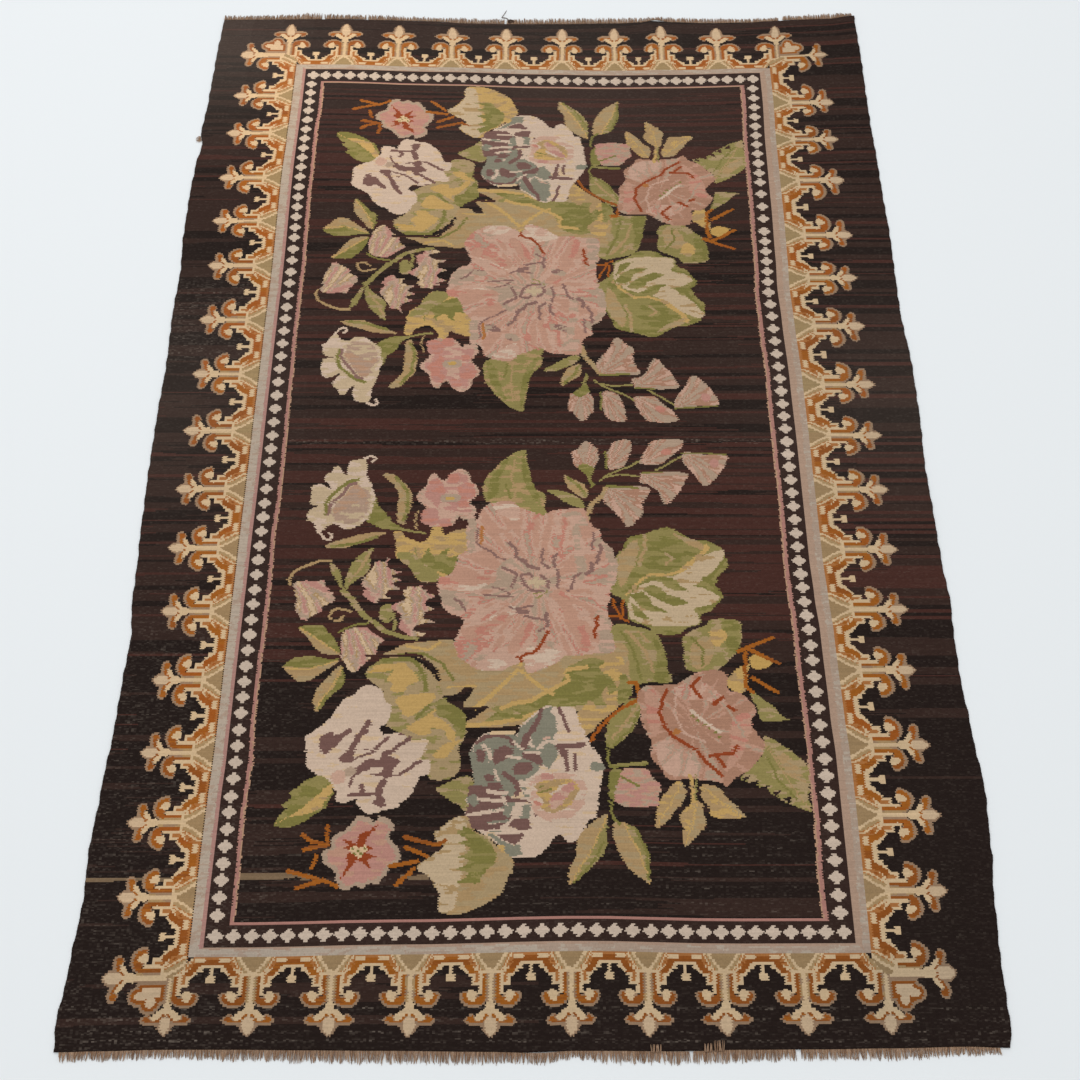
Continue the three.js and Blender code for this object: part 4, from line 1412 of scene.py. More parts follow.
    def pansy(self) -> None:
        """Weave the pansy and, against it, the peony with its slanting pink centre."""
        c = self.c
        c.draw(LEAF_SAGE, """
            -222,-922 -195,-905 -165,-892 -145,-895 -138,-920 -145,-950 -155,-970 -175,-955 -200,-938""")
        c.draw(PALE_PETAL, """
            -45,-798 -40,-775 -20,-755 0,-735 20,-725 40,-730 75,-728 85,-745 95,-775 110,-805 122,-830
            135,-850 140,-880 135,-920 130,-955 125,-985 110,-990 97,-1015 90,-1030 68,-1040 48,-1022
            30,-1040 10,-1060 -15,-1072 -70,-1070 -72,-1055 -90,-1040 -110,-1025 -130,-1010 -150,-1000
            -155,-985 -152,-960 -155,-945 -145,-930 -138,-905 -148,-870 -150,-840 -140,-815 -125,-800
            -105,-788 -60,-788 -52,-800""")
        c.draw(Yarn.SLATE, """
            | -105,-790 -60,-790 -45,-800 -20,-820 10,-835 5,-862 -8,-888 -30,-900 -45,-925 -62,-950
            -90,-958 -120,-975 -150,-960 -152,-940 -138,-905 -147,-870 -149,-842 -138,-815; | -45,-790
            -39,-779 -19,-759 -2,-744 12,-733 29,-727 26,-741 4,-761 -14,-790 -30,-825; | 26,-741 38,-750
            41,-790 35,-807 12,-810 -2,-827 -11,-816 -14,-790 4,-761; | 24,-813 41,-819 41,-847 29,-864
            21,-876 6,-864 -2,-847 1,-833; | 115,-859 138,-861 144,-876 126,-881 109,-876""")
        c.draw(Yarn.PLUM, """
            | -150,-912 -112,-915 -70,-925 -52,-950 -60,-990 -90,-1010 -120,-1012 -155,-995 -152,-960;
            | 44,-815 52,-815 63,-830 63,-847 48,-847 44,-832; | -39,-836 -2,-840 10,-858 5,-870 -15,-858
            -35,-850; | -99,-833 -74,-821 -56,-827 -56,-839 -76,-856 -96,-867 -102,-856; | -139,-833
            -122,-827 -116,-841 -122,-861 -136,-859; | -45,-859 -16,-861 -14,-876 -28,-890 -51,-890
            -59,-876""")
        c.draw(Yarn.SLATE, """
            | -139,-861 -116,-864 -111,-899 -114,-916 -131,-913 -139,-893; | -148,-936 -131,-933 -125,-953
            -142,-961 -154,-950; | -71,-950 -51,-953 -56,-976 -62,-987 -74,-979; | -34,-958 -16,-956
            -17,-985 -30,-992 -42,-985; | -111,-1018 -95,-1022 -74,-1036 -51,-1047 -38,-1042 -34,-1068
            -74,-1070 -85,-1040; 12 -148,-840 -142,-870""")
        c.draw(Yarn.PLUM, """
            | -120,-892 -108,-886 -96,-892 -98,-902 -112,-904; | -111,-907 -85,-904 -74,-919 -108,-924;
            | -138,-913 -119,-921 -102,-936 -85,-944 -88,-956 -111,-961 -125,-976 -139,-981 -156,-987
            -159,-999 -139,-1010 -108,-1013 -85,-1010 -99,-999 -85,-984 -116,-987; | -62,-996 -45,-987
            -19,-987 -16,-1013 -39,-1013 -62,-1004; | -85,-1024 -25,-1019 -34,-1036 -51,-1044 -74,-1033;
            9>18 5,-736 1,-756 -11,-779 -22,-801 -31,-824; 12 44,-824 100,-819; 9 58,-847 61,-878;
            8 78,-841 78,-876; 8 44,-733 55,-750 61,-773 66,-787; 8 -134,-813 -116,-801 -85,-796 -62,-804
            -54,-819; 12 -74,-887 -59,-899 -45,-913 -45,-933; 7 -70,-936 -62,-946 -16,-949; 6 4,-970
            -5,-981""")
        c.draw(Yarn.CREAM, "9 -102,-790 -56,-792")
        c.draw(Yarn.BLUSH, "5 12,-807 29,-801")
        c.draw(PALE_SLATE, """
            10 -119,-821 -108,-836 -108,-856; 9 -111,-925 -68,-932; 9 -74,-935 -72,-960; 9 -125,-975
            -76,-968; 8 -99,-1013 -25,-1016; 8 -128,-944 -70,-948; 7 -148,-978 -100,-972 -80,-966;
            6 -108,-996 -64,-992; 10 -40,-905 -22,-935 -18,-944; 7 -70,-846 -40,-850; 7 -52,-812 -30,-836
            0,-838; 7 -96,-880 -88,-900; -51,-957 -35,-957 -34,-980 -50,-981""")
        c.draw(Yarn.GOLD, "-86,-1047 -72,-1047 -72,-1067 -86,-1067")
        c.draw(((Yarn.BLUSH, 0.7), (Yarn.PETAL, 0.3)), """
            -22,-905 5,-888 45,-884 85,-890 104,-912 104,-940 92,-968 62,-990 30,-994 0,-982 -16,-955
            -14,-930""")
        c.draw(((Yarn.GOLD, 0.6), (Yarn.TAN, 0.4)), """
            -4,-907 41,-899 72,-901 86,-913 89,-927 78,-947 64,-961 44,-973 26,-974 6,-964 12,-947 -2,-930""")
        c.draw(((Yarn.PINK, 0.6), (Yarn.BLUSH, 0.4)), """
            29,-967 24,-950 41,-927 69,-907 81,-913 69,-933 52,-953 41,-964""")
        c.draw(Yarn.PINK, "5,-888 20,-886 32,-890 30,-898 8,-899")
        c.draw(Yarn.SALMON, "-8,-949 4,-949 4,-958 -8,-958")
        c.draw(Yarn.PETAL, "6 29,-933 55,-913")
        c.draw(Yarn.GREEN, "3 4,-916 15,-914; 4 2,-929 26,-921")

    def low_leaves(self) -> None:
        """Weave the leaves that hang below the flowers."""
        c = self.c
        c.draw(LEAF_GREEN, "155,-880 175,-878 185,-890 178,-935 172,-950 155,-935; 9 155,-870 235,-862")
        c.draw(((Yarn.PINK, 0.35), (Yarn.ROSE, 0.4), (Yarn.GREIGE, 0.25)), """
            181,-881 201,-876 235,-876 252,-899 266,-913 264,-933 255,-959 181,-960 166,-939""")
        c.draw(Yarn.GREEN, "5 178,-893 200,-905 221,-915")
        c.leaves(LEAF_BRONZE, LEAF_DULL, """
            310,-905 322,-925 318,-945 300,-965 280,-990 252,-1008 253,-985 260,-955 285,-920 295,-908 /
            312,-908 290,-950 256,-1000; 342,-948 355,-955 358,-985 362,-992 350,-1015 330,-1035 312,-1047
            310,-1010 305,-985 318,-965 332,-952 / 342,-950 335,-990 316,-1042; 355,-912 388,-915 405,-935
            430,-965 445,-985 380,-985 370,-965 357,-945 / 358,-915 395,-950 440,-983""")
        c.draw(LEAF_GOLD, "9 330,-890 336,-920 338,-950")
        c.draw(Yarn.SAGE, "4 343,-890 342,-945")
        c.leaves(LEAF_DULL, LEAF_SAGE, """
            148,-978 147,-1000 148,-1045 130,-1075 110,-1098 70,-1130 65,-1120 65,-1100 80,-1070 85,-1035
            105,-1005 125,-990 / 148,-982 118,-1050 70,-1125; 163,-995 195,-1000 212,-1015 228,-1045
            237,-1070 235,-1110 237,-1130 215,-1115 195,-1100 170,-1060 162,-1020 / 185,-1000 215,-1060
            236,-1128""")
        c.draw(Yarn.GREEN, """
            5 140,-1040 112,-1090 76,-1124; 7 212,-1012 232,-1060 233,-1118; 6 155,-820 150,-850 155,-870;
            6 155,-950 160,-985 175,-1000""")
        c.draw(LEAF_GOLD if self.at_head else LEAF_DULL, """
            -165,-982 -180,-985 -200,-1000 -218,-1018 -215,-1035 -200,-1050 -235,-1075 -255,-1092
            -228,-1115 -215,-1135 -205,-1150 -208,-1175 -200,-1190 -165,-1192 -130,-1182 -100,-1165
            -75,-1145 -65,-1120 -52,-1095 -55,-1075 -85,-1050 -110,-1025 -140,-1010 -150,-985""")
        c.draw(((Yarn.IVORY, 0.85), (Yarn.TAN, 0.15)), """
            -165,-984 -180,-987 -215,-1018 -213,-1035 -200,-1050 -252,-1092 -226,-1115 -205,-1150
            -206,-1186 -175,-1180 -165,-1130 -155,-1070 -150,-1010""")
        c.draw(LEAF_GREEN, """
            | -158,-1002 -130,-1018 -105,-1035 -88,-1062 -92,-1085 -110,-1100 -128,-1128 -178,-1126
            -150,-1116 -148,-1104 -172,-1098 -150,-1088 -146,-1078 -170,-1072 -146,-1062 -144,-1050
            -168,-1040 -146,-1032 -172,-1018""")

    def low_flowers(self) -> None:
        """Weave the small pink flower at the lower left."""
        c = self.c
        outline = """
            -385,-982 -365,-985 -350,-995 -340,-982 -320,-990 -308,-1003 -315,-1025 -305,-1040
            -293,-1060 -293,-1078 -310,-1092 -325,-1115 -340,-1130 -355,-1128 -365,-1138 -385,-1132
            -398,-1143 -415,-1138 -425,-1120 -430,-1100 -455,-1085 -457,-1060 -440,-1052 -438,-1030
            -415,-1015 -400,-1000"""
        c.patch(Yarn.GREIGE, outline)
        share, mx, my = 0.86, -375, -1062
        inset = " ".join(f"{mx + (x - mx) * share},{my + (y - my) * share}" for x, y in read(outline))
        c.patch(((Yarn.PINK, 0.7), (Yarn.ROSE, 0.3)), inset)
        c.draw(Yarn.FLAME, """
            | -343,-1001 -352,-1018 -362,-1028 -366,-1044 -348,-1052 -366,-1062 -342,-1072
            -362,-1076 -352,-1098 -374,-1082 -384,-1078 -398,-1098 -418,-1122 -402,-1088 -408,-1072
            -396,-1060 -414,-1050 -400,-1046 -416,-1030 -396,-1036 -384,-1044 -378,-1020
            -362,-1014""")
        c.draw(Yarn.CREAM, "| -402,-1056 -390,-1046 -378,-1052 -366,-1044 -360,-1056 -380,-1076")
        c.spots(Yarn.GREEN, "-393,-1053 -381,-1059 -368,-1053 -387,-1065 -374,-1065", 3.5, 2.5)

    def twigs(self) -> None:
        """Weave the thin rust twigs round the foot of the bouquet and at its right."""
        c = self.c
        c.draw(Yarn.RUST_GOLD, """
            10>8 -500,-1023 -480,-1038 -445,-1045; 10>8 -495,-1055 -470,-1050 -445,-1045; 10>8 -450,-1005
            -445,-1045; 10>8 -470,-1070 -478,-1095; 10>8 -525,-1102 -440,-1125; 10>8 -505,-1137 -450,-1120
            -420,-1135; 10>8 -280,-1027 -215,-1045 -195,-1035; 10>8 -280,-1050 -235,-1070; 10>8 -312,-1090
            -255,-1080; 10>8 -298,-1130 -260,-1095; 10>8 455,-595 535,-560; 10>8 480,-590 545,-625;
            10>8 470,-600 468,-680 485,-695; 10>8 485,-660 540,-695""")


def zip_strip(a: Array, ids_a: Array, b: Array, ids_b: Array) -> tuple[Array, Array]:
    """Fill the strip between two chains of vertices that start and end side by side.

    Args:
        a: Place of each vertex of the first chain along the strip, rising.
        ids_a: Those vertices.
        b: Place of each vertex of the second chain, which lies above the first.
        ids_b: Those vertices.

    Returns:
        The triangles, and the place where each of them ends.
    """
    place = np.concatenate([a[1:], b[1:]])
    upper = np.repeat([False, True], [len(a) - 1, len(b) - 1])
    order = np.lexsort((upper, place))
    place, upper = place[order], upper[order]
    on_a, on_b = np.cumsum(~upper), np.cumsum(upper)
    first = ids_a[np.where(upper, on_a, on_a - 1)]
    second = np.where(upper, ids_b[on_b], ids_a[on_a])
    third = ids_b[np.where(upper, on_b - 1, on_b)]
    return np.stack([first, second, third], 1), place


def new_mesh(name: str, points: Array, faces: Array) -> Object:
    """Make a mesh object from triangles and put it in the scene.

    Args:
        name: The piece's name.
        points: Vertices in millimetres, one per row.
        faces: Triangles, one per row.

    Returns:
        The object.
    """
    mesh = bpy.data.meshes.new(name)
    mesh.vertices.add(len(points))
    mesh.vertices.foreach_set("co", (points * MM).astype(np.float32).ravel())
    mesh.loops.add(faces.size)
    mesh.loops.foreach_set("vertex_index", faces.astype(np.int32).ravel())
    mesh.polygons.add(len(faces))
    mesh.polygons.foreach_set("loop_start", np.arange(len(faces), dtype=np.int32) * 3)
    mesh.update(calc_edges=True)
    piece = bpy.data.objects.new(name, mesh)
    bpy.context.scene.collection.objects.link(piece)
    return piece


def paint(piece: Object, colours: Array) -> None:
    """Store a colour and an alpha for each corner of a mesh as its yarn attribute."""
    layer = piece.data.color_attributes.new("yarn", "FLOAT_COLOR", "CORNER")
    layer.data.foreach_set("color", colours.astype(np.float32).ravel())


@dataclass
class Cloth:
    """One band of the web as a closed mesh, with an edge wherever the wool changes."""

    name: str
    first: int
    last: int
    longest_run: int = 32
    under_step: int = 4
    wall_top: float = 0.62
    wall_foot: float = 0.12
    tint_spread: float = 0.03
    # The colour of the dust and of the painted sheen
    dust_and_sheen_colour: str = "#b5a698"
    # Where the surfaces lie in the bake's square, as low u and v, width and height, and
    # where the walls do, as low u and v, width, step from wall to wall and height
    top_uv: Sizes = (0.005, 0.005, 0.99, 0.74)
    under_uv: Sizes = (0.005, 0.755, 0.34, 0.24)
    wall_uv: Sizes = (0.36, 0.765, 0.63, 0.06, 0.03)
    points: list[Array] = field(default_factory=list)
    faces: list[Array] = field(default_factory=list)
    tints: list[Array] = field(default_factory=list)
    uvs: list[Array] = field(default_factory=list)

    def cuts(self, row: Array, step: int) -> Array:
        """Find the columns where one pick changes wool, and a few more that shape needs.

        Args:
            row: The pick's wools.
            step: Columns per cell of it.

        Returns:
            The columns, from one selvedge to the other.
        """
        changes = np.nonzero(np.diff(row))[0] + 1
        spare = np.arange(0, WEB.columns, self.longest_run)
        edge = [0, WEB.columns] if step > 1 else [0, 1, 3, WEB.columns - 3, WEB.columns - 1]
        return np.unique(np.concatenate([changes * step, spare, edge, [WEB.columns]]))

    def lines(self, draft: Draft, step: int) -> tuple[list[int], list[Array]]:
        """Give the lines between picks and the columns with a vertex on each of them.

        Args:
            draft: The finished draft.
            step: Picks and columns per cell.

        Returns:
            The lines, and the columns on each.
        """
        stops = list(range(self.first, self.last, step)) + [self.last]
        middle = step // 2
        rows = []
        for start in [stops[0] - step, *stops]:
            pick = min(max(start + middle, 0), WEB.picks - 1)
            rows.append(self.cuts(draft.yarn[pick, middle::step], step))
        return stops, [np.union1d(a, b) for a, b in zip(rows[:-1], rows[1:])]

    def surface(self, draft: Draft, step: int, top: bool, grain: Array) -> list[Array]:
        """Build the upper or the under surface.

        Args:
            draft: The finished draft.
            step: Picks and columns per cell.
            top: Whether this is the upper surface.
            grain: A tint for every crossing.

        Returns:
            The vertices' numbers on each line.
        """
        stops, lines = self.lines(draft, step)
        columns = np.concatenate(lines)
        picks = np.repeat(stops, [len(line) for line in lines])
        start = sum(len(block) for block in self.points)
        limits = np.cumsum([0] + [len(line) for line in lines]) + start
        numbers = [np.arange(a, b) for a, b in zip(limits[:-1], limits[1:])]
        nx = columns * WEB.width / WEB.columns - WEB.width / 2
        ny = picks * WEB.length / WEB.picks - WEB.length / 2
        x, y = WEB.place(nx, ny)
        at_side = (columns == 0) | (columns == WEB.columns)
        turn = np.where(picks % 2 == 0, 1, -1) * np.where(columns == 0, -1, 1)
        x = x + at_side * turn * WEB.weft_loop
        at_end = (picks == 0) | (picks == WEB.picks)
        rim = self.wall_top if top else self.wall_foot
        flat = 1.0 if top else 0.0
        lift = np.where(at_side | at_end, rim, flat) * WEB.thickness
        self.points.append(np.stack([x, y, lift + WEB.height(x, y)], 1))
        span = (picks - self.first) / (self.last - self.first)
        u0, v0, wide, high = self.top_uv if top else self.under_uv
        uv = np.stack([u0 + wide * columns / WEB.columns, v0 + high * span], 1)
        wear = draft.wear[
            np.clip(picks, 0, WEB.picks - 1), np.clip(columns, 0, WEB.columns - 1)
        ]
        base = np.array([linear(DYES[wool])[:3] for wool in Yarn])
        dust_and_sheen = np.array(linear(self.dust_and_sheen_colour)[:3])
        for k, (low, high) in enumerate(zip(lines[:-1], lines[1:])):
            faces, place = zip_strip(low, numbers[k], high, numbers[k + 1])
            pick = min(stops[k] + step // 2, WEB.picks - 1)
            cell = np.minimum((place - 1) // step * step + step // 2, WEB.columns - 1)
            inner = np.concatenate([[0], np.nonzero(np.diff(draft.yarn[pick]))[0] + 1])
            run = inner[np.searchsorted(inner, cell, side="right") - 1]
            tint = base[draft.yarn[pick, cell]] * grain[pick, run][:, None]
            # Painted light and shade: the light wools brighter and warmer towards the head's left corner,
            # darker along the foot end and the right border
            tint = tint * (1 + draft.painted_light[pick, cell][:, None] * PAINTED_LIGHT_RGB)
            # Dust and painted sheen: a pale haze mixed into the colour, thickest at the head's left corner
            tint = tint + draft.dust_and_sheen[pick, cell][:, None] * (dust_and_sheen - tint)
            if not top:
                faces = faces[:, ::-1]
            at = faces - start
            rgb = np.repeat(tint[:, None, :], 3, 1)
            self.faces.append(faces)
            self.tints.append(np.concatenate([rgb, wear[at][:, :, None]], 2))
            self.uvs.append(uv[at])
        return numbers

    def wall(self, low: tuple[Array, Array], high: tuple[Array, Array], side: int) -> None:
        """Close one side from the under surface's edge to the upper surface's edge.

        Args:
            low: Places and numbers of the under edge's vertices.
            high: Places and numbers of the upper edge's vertices.
            side: 0 for the foot, 1 for the right, 2 for the head and 3 for the left.
        """
        faces, _ = zip_strip(low[0], low[1], high[0], high[1])
        level = {n: (p, 0.0) for p, n in zip(low[0], low[1])}
        level.update({n: (p, 1.0) for p, n in zip(high[0], high[1])})
        span = low[0][-1] - low[0][0]
        flat = np.array([level[n] for n in faces.ravel()]).reshape(-1, 3, 2)
        along = (flat[:, :, 0] - low[0][0]) / span
        u0, v0, wide, step, high_v = self.wall_uv
        uv = np.stack([u0 + wide * along, v0 + step * side + high_v * flat[:, :, 1]], 2)
        if side >= 2:
            faces, uv = faces[:, ::-1], uv[:, ::-1]
        dark = np.array([*linear(DYES[Yarn.UMBER])[:3], 0.1])
        self.faces.append(faces)
        self.tints.append(np.broadcast_to(dark, (len(faces), 3, 4)))
        self.uvs.append(uv)

    def build(self, draft: Draft, noise: Rows) -> Object:
        """Build the band.

        Args:
            draft: The finished draft.
            noise: Where the small differences between passes of weft come from.

        Returns:
            The piece.
        """
        spread = noise.random.uniform(-1, 1, draft.yarn.shape)
        spread += noise.random.uniform(-1, 1, (WEB.picks, 1))
        grain = 1 + self.tint_spread * spread
        upper = self.surface(draft, 1, True, grain)
        smooth = sum(len(block) for block in self.faces)
        under = self.surface(draft, self.under_step, False, grain)
        high_rows = np.arange(self.first, self.last + 1)
        low_rows = np.array([*range(self.first, self.last, self.under_step), self.last])
        high_lines, low_lines = self.lines(draft, 1)[1], self.lines(draft, self.under_step)[1]
        for side, k in ((0, 0), (2, -1)):
            self.wall((low_lines[k], under[k]), (high_lines[k], upper[k]), side)
        for side, k in ((3, 0), (1, -1)):
            low = np.array([line[k] for line in under])
            high = np.array([line[k] for line in upper])
            self.wall((low_rows, low), (high_rows, high), side)
        faces = np.concatenate(self.faces)
        piece = new_mesh(self.name, np.concatenate(self.points), faces)
        flat = np.arange(len(faces)) >= smooth
        piece.data.polygons.foreach_set("use_smooth", ~flat)
        paint(piece, np.concatenate(self.tints))
        layer = piece.data.uv_layers.new(name="OFBake")
        layer.uv.foreach_set("vector", np.concatenate(self.uvs).astype(np.float32).ravel())
        LOG.info("%s: %d triangles", self.name, len(faces))
        return piece


@dataclass
class Strands:
    """A bunch of yarns, each a thin tapering tube, gathered into one closed mesh."""

    name: str
    sides: int = 5
    points: list[Array] = field(default_factory=list)
    faces: list[Array] = field(default_factory=list)
    colours: list[Array] = field(default_factory=list)

    def lay(self, route: Array, radii: Array, colour: Array) -> None:
        """Lay one yarn.

        Args:
            route: Points along its middle, in millimetres.
            radii: Its radius at each of them.
            colour: Its linear colour.
        """
        n, sides = len(route), self.sides
        ahead = np.gradient(route, axis=0)
        ahead /= np.linalg.norm(ahead, axis=1, keepdims=True)
        aside = np.cross(ahead, (0.0, 0.0, 1.0))
        length = np.linalg.norm(aside, axis=1, keepdims=True)
        aside = np.where(length > 1e-6, aside / np.maximum(length, 1e-6), (1.0, 0.0, 0.0))
        up = np.cross(aside, ahead)
        turn = 2 * math.pi * np.arange(sides) / sides
        ring = aside[:, None] * np.cos(turn)[None, :, None]
        ring = ring + up[:, None] * np.sin(turn)[None, :, None]
        start = sum(len(block) for block in self.points)
        self.points.append((route[:, None] + ring * radii[:, None, None]).reshape(-1, 3))
        k, j = np.meshgrid(np.arange(n - 1), np.arange(sides), indexing="ij")
        a, b = k * sides + j, k * sides + (j + 1) % sides
        c, d = a + sides, b + sides
        tube = np.stack([np.stack([a, c, b], 2), np.stack([b, c, d], 2)], 2).reshape(-1, 3)
        fan = np.arange(1, sides - 1)
        root = np.stack([0 * fan, fan, fan + 1], 1)
        tip = np.stack([0 * fan, fan + 1, fan], 1) + (n - 1) * sides
        faces = np.concatenate([tube, root, tip])
        self.faces.append(faces + start)
        self.colours.append(np.broadcast_to([*colour, 0.0], (len(faces), 3, 4)))

    def build(self) -> Object:
        """Gather the yarns into one piece."""
        faces = np.concatenate(self.faces)
        piece = new_mesh(self.name, np.concatenate(self.points), faces)
        piece.data.polygons.foreach_set("use_smooth", np.ones(len(faces), bool))
        paint(piece, np.concatenate(self.colours))
        LOG.info("%s: %d triangles", self.name, len(faces))
        return piece


class End(Enum):
    """The two ends of the rug, as the sign of y."""

    FOOT = -1
    HEAD = 1


@dataclass(frozen=True)
class WarpCotton:
    """Dusty undyed warp ends.

    Wool and cotton plied hard on the spindle, cut off short behind the last pick: the
    ends have untwisted into dull fibre that scatters light without any shine.
    """

    shades: tuple[str, ...] = ("#9a7d66", "#8e705a", "#a4876e", "#836650", "#ab8e76")
    dark: tuple[str, ...] = ("#4a3a30", "#3a2c25", "#5a463a")


@dataclass
class Fringe:
    """The cut warp ends along one end, gathered in loose locks."""

    end: End
    pitch: float = 1.55
    radius: float = 0.75
    lock: float = 12.8
    root_gap: float = 0.15
    # How many small locks of warp ends come to one lock of the CAD comb
    gathers: float = 1.7
    # How far single locks gather, lean and reach, and how far ends stray from their lock
    gather: float = 0.35
    lean: float = 2.6
    lock_reach: Pair = (0.8, 1.03)
    stray: float = 2.4
    end_reach: Pair = (0.72, 1.03)
    shade_spread: Pair = (0.82, 1.1)
    # Stations along a warp end, its thickness at each, and how far it kinks and rises
    stations: Sizes = (0, 0.22, 0.5, 0.78, 1)
    taper: Sizes = (1, 1.1, 1, 0.85, 0.45)
    kink: float = 0.9
    rise: Pair = (0.3, 2.4)
    # How far the warp ends reach past the last pick, from left to right
    head_reach: Route = (
        "-936,22 -740,25 -690,31 -560,24 -470,28 -380,23 -300,21 -230,28 -150,24 -60,28 80,30 200,29 300,28 "
        "345,15 390,24 500,26 620,22 680,18 740,24 860,26 930,16"
    )
    foot_reach: Route = (
        "-952,21 -880,20 -740,19 -600,23 -480,26 -300,27 -100,26 0,24 70,17 150,26 280,27 400,26 560,22 "
        "700,24 860,19 918,14"
    )
    head_bare: Route = "-646,-636 -513,-508 -103,-96 710,722"
    foot_bare: Route = "301,309 512,522"
    # The loose yarn that runs out of the head's knot, and the foot's turned-up locks as
    # lowest and highest x and how far in over the cloth they reach
    loose_yarn: Route = (
        "-6,12,3 -8,21,2.6 -14,27,2 -22,29,1.8 -27,29,1.6 -24,36,1.5 -19,45,1.4 -16,54,1.2 -13,60,1.1"
    )
    turned_locks: Route = "226,244,13 330,347,14 352,369,19"
    turned_pitch: float = 1.6
    # The head's knot: its x, how far out it lies, its half sizes and its loops
    knot_x: float = -84
    knot_out: float = 11
    knot_size: Pair = (9.5, 8)
    knot_loops: int = 16
    knot_radius: float = 1.1
    yarns: WarpCotton = WarpCotton()

    def build(self) -> Object:
        """Build the fringe.

        Returns:
            The piece.
        """
        at_head = self.end is End.HEAD
        random = np.random.default_rng(31 if at_head else 47)
        reach = self.head_reach if at_head else self.foot_reach
        bare = read(self.head_bare if at_head else self.foot_bare)
        first, last = read(reach)[[0, -1], 0]
        strands = Strands("fringe_at_head" if at_head else "fringe_at_foot")
        shades = np.array([linear(shade)[:3] for shade in self.yarns.shades])
        roots = np.linspace(first + 1.5, last - 1.5, int((last - first) / self.pitch))
        locks = np.floor((roots - roots[0]) / self.lock * self.gathers).astype(int)
        gather = random.uniform(-self.gather, self.gather, locks.max() + 1)
        lean = random.uniform(-self.lean, self.lean, locks.max() + 1)
        extent = random.uniform(*self.lock_reach, locks.max() + 1)
        for x, lock in zip(roots, locks):
            if any(low < x < high for low, high in bare):
                continue
            shade = shades[random.integers(len(shades))] * random.uniform(*self.shade_spread)
            middle = roots[0] + (lock + 0.5) * self.lock / self.gathers
            sway = (middle - x) * (self.gather + gather[lock]) + lean[lock]
            sway += random.uniform(-self.stray, self.stray)
            length = float(ease(reach, np.array(x))) * extent[lock]
            length *= random.uniform(*self.end_reach)
            self.warp_end(strands, x, sway, length, shade, random)
        if at_head:
            self.knot(strands, random)
        else:
            self.turned_up(strands, random, shades)
        return strands.build()

    def line(self, x: float) -> float:
        """Give the y just outside the last pick."""
        return float(WEB.last_pick(self.end.value, np.array(x))) + self.end.value * self.root_gap

    def warp_end(
        self,
        strands: Strands,
        x: float,
        sway: float,
        length: float,
        shade: Array,
        random: np.random.Generator,
    ) -> None:
        """Lay one warp end flat behind the last pick.

        Args:
            strands: Where to lay it.
            x: Its root.
            sway: How far aside its tip ends.
            length: How far out its tip reaches.
            shade: Its linear colour.
            random: Where its own kinks come from.
        """
        t = np.array(self.stations)
        # An end kinks most half way, and little at its tip
        kink = random.uniform(-self.kink, self.kink, len(t)) * t * (1.15 - t) * 2.2
        y = self.line(x) + self.end.value * t * length
        ground = WEB.height(np.array(x), np.array(y[0]))
        rise = random.uniform(*self.rise)
        # It comes out half way up the cloth, falls to the floor and sinks a little at its tip
        z = (WEB.thickness / 2 + ground) * (1 - t) ** 1.5
        z = z + rise * np.sin(math.pi * t) + self.radius * 1.02
        z = z * np.where(t == 1, 0.75, 1) + 0.2 * t
        radii = self.radius * np.array(self.taper)
        route = np.stack([x + sway * t**1.3 + kink, y, np.maximum(z, radii + 0.05)], 1)
        strands.lay(route, radii, shade)

    def knot(self, strands: Strands, random: np.random.Generator) -> None:
        """Lay the dark knotted tuft of the head with the loose yarn that runs out of it.

        Args:
            strands: Where to lay it.
            random: Where its disorder comes from.
        """
        dark = np.array([linear(shade)[:3] for shade in self.yarns.dark])
        x0, y0, bends = self.knot_x, self.line(self.knot_x), 6
        wide, long = self.knot_size
        for _ in range(self.knot_loops):
            a = random.uniform(-math.pi, math.pi)
            t = np.linspace(0, 1, bends)
            swing = a + t * random.uniform(2.5, 5)
            opening = 0.4 + 0.6 * t
            x = x0 + random.uniform(-3, 3) + wide * np.cos(swing) * opening
            y = y0 + self.knot_out + random.uniform(-2, 2) + long * np.sin(swing) * opening
            z = 1.2 + random.uniform(0, 3.4) * np.ones(bends)
            radii = np.full(bends, self.knot_radius)
            strands.lay(np.stack([x, y, z], 1), radii, dark[random.integers(3)])
        # The loose yarn, thinner towards its end
        route = read(self.loose_yarn) + (x0, y0, 0)
        strands.lay(route, np.linspace(1.4, 0.7, len(route)), dark[2])

    def turned_up(self, strands: Strands, random: np.random.Generator, shades: Array) -> None:
        """Lay the locks of the foot that are turned back over the cloth.

        Args:
            strands: Where to lay them.
            random: Where their disorder comes from.
            shades: The linear colours to choose from.
        """
        for low, high, reach in read(self.turned_locks):
            for x in np.arange(low, high, self.turned_pitch):
                t = np.array([0, 0.2, 0.45, 0.75, 1.0])
                y = self.line(x) + np.array([-0.9, -2.4, 1.5, 8, reach]) * random.uniform(0.9, 1)
                z = WEB.thickness + WEB.cockle + np.array([-3.0, 0.2, 1.9, 1.6, 1.2])
                wander = random.uniform(-3, 3) * t
                route = np.stack([x + wander, y, z], 1)
                radii = self.radius * np.array([1, 1, 1.1, 1, 0.5])
                strands.lay(route, radii, shades[random.integers(len(shades))])


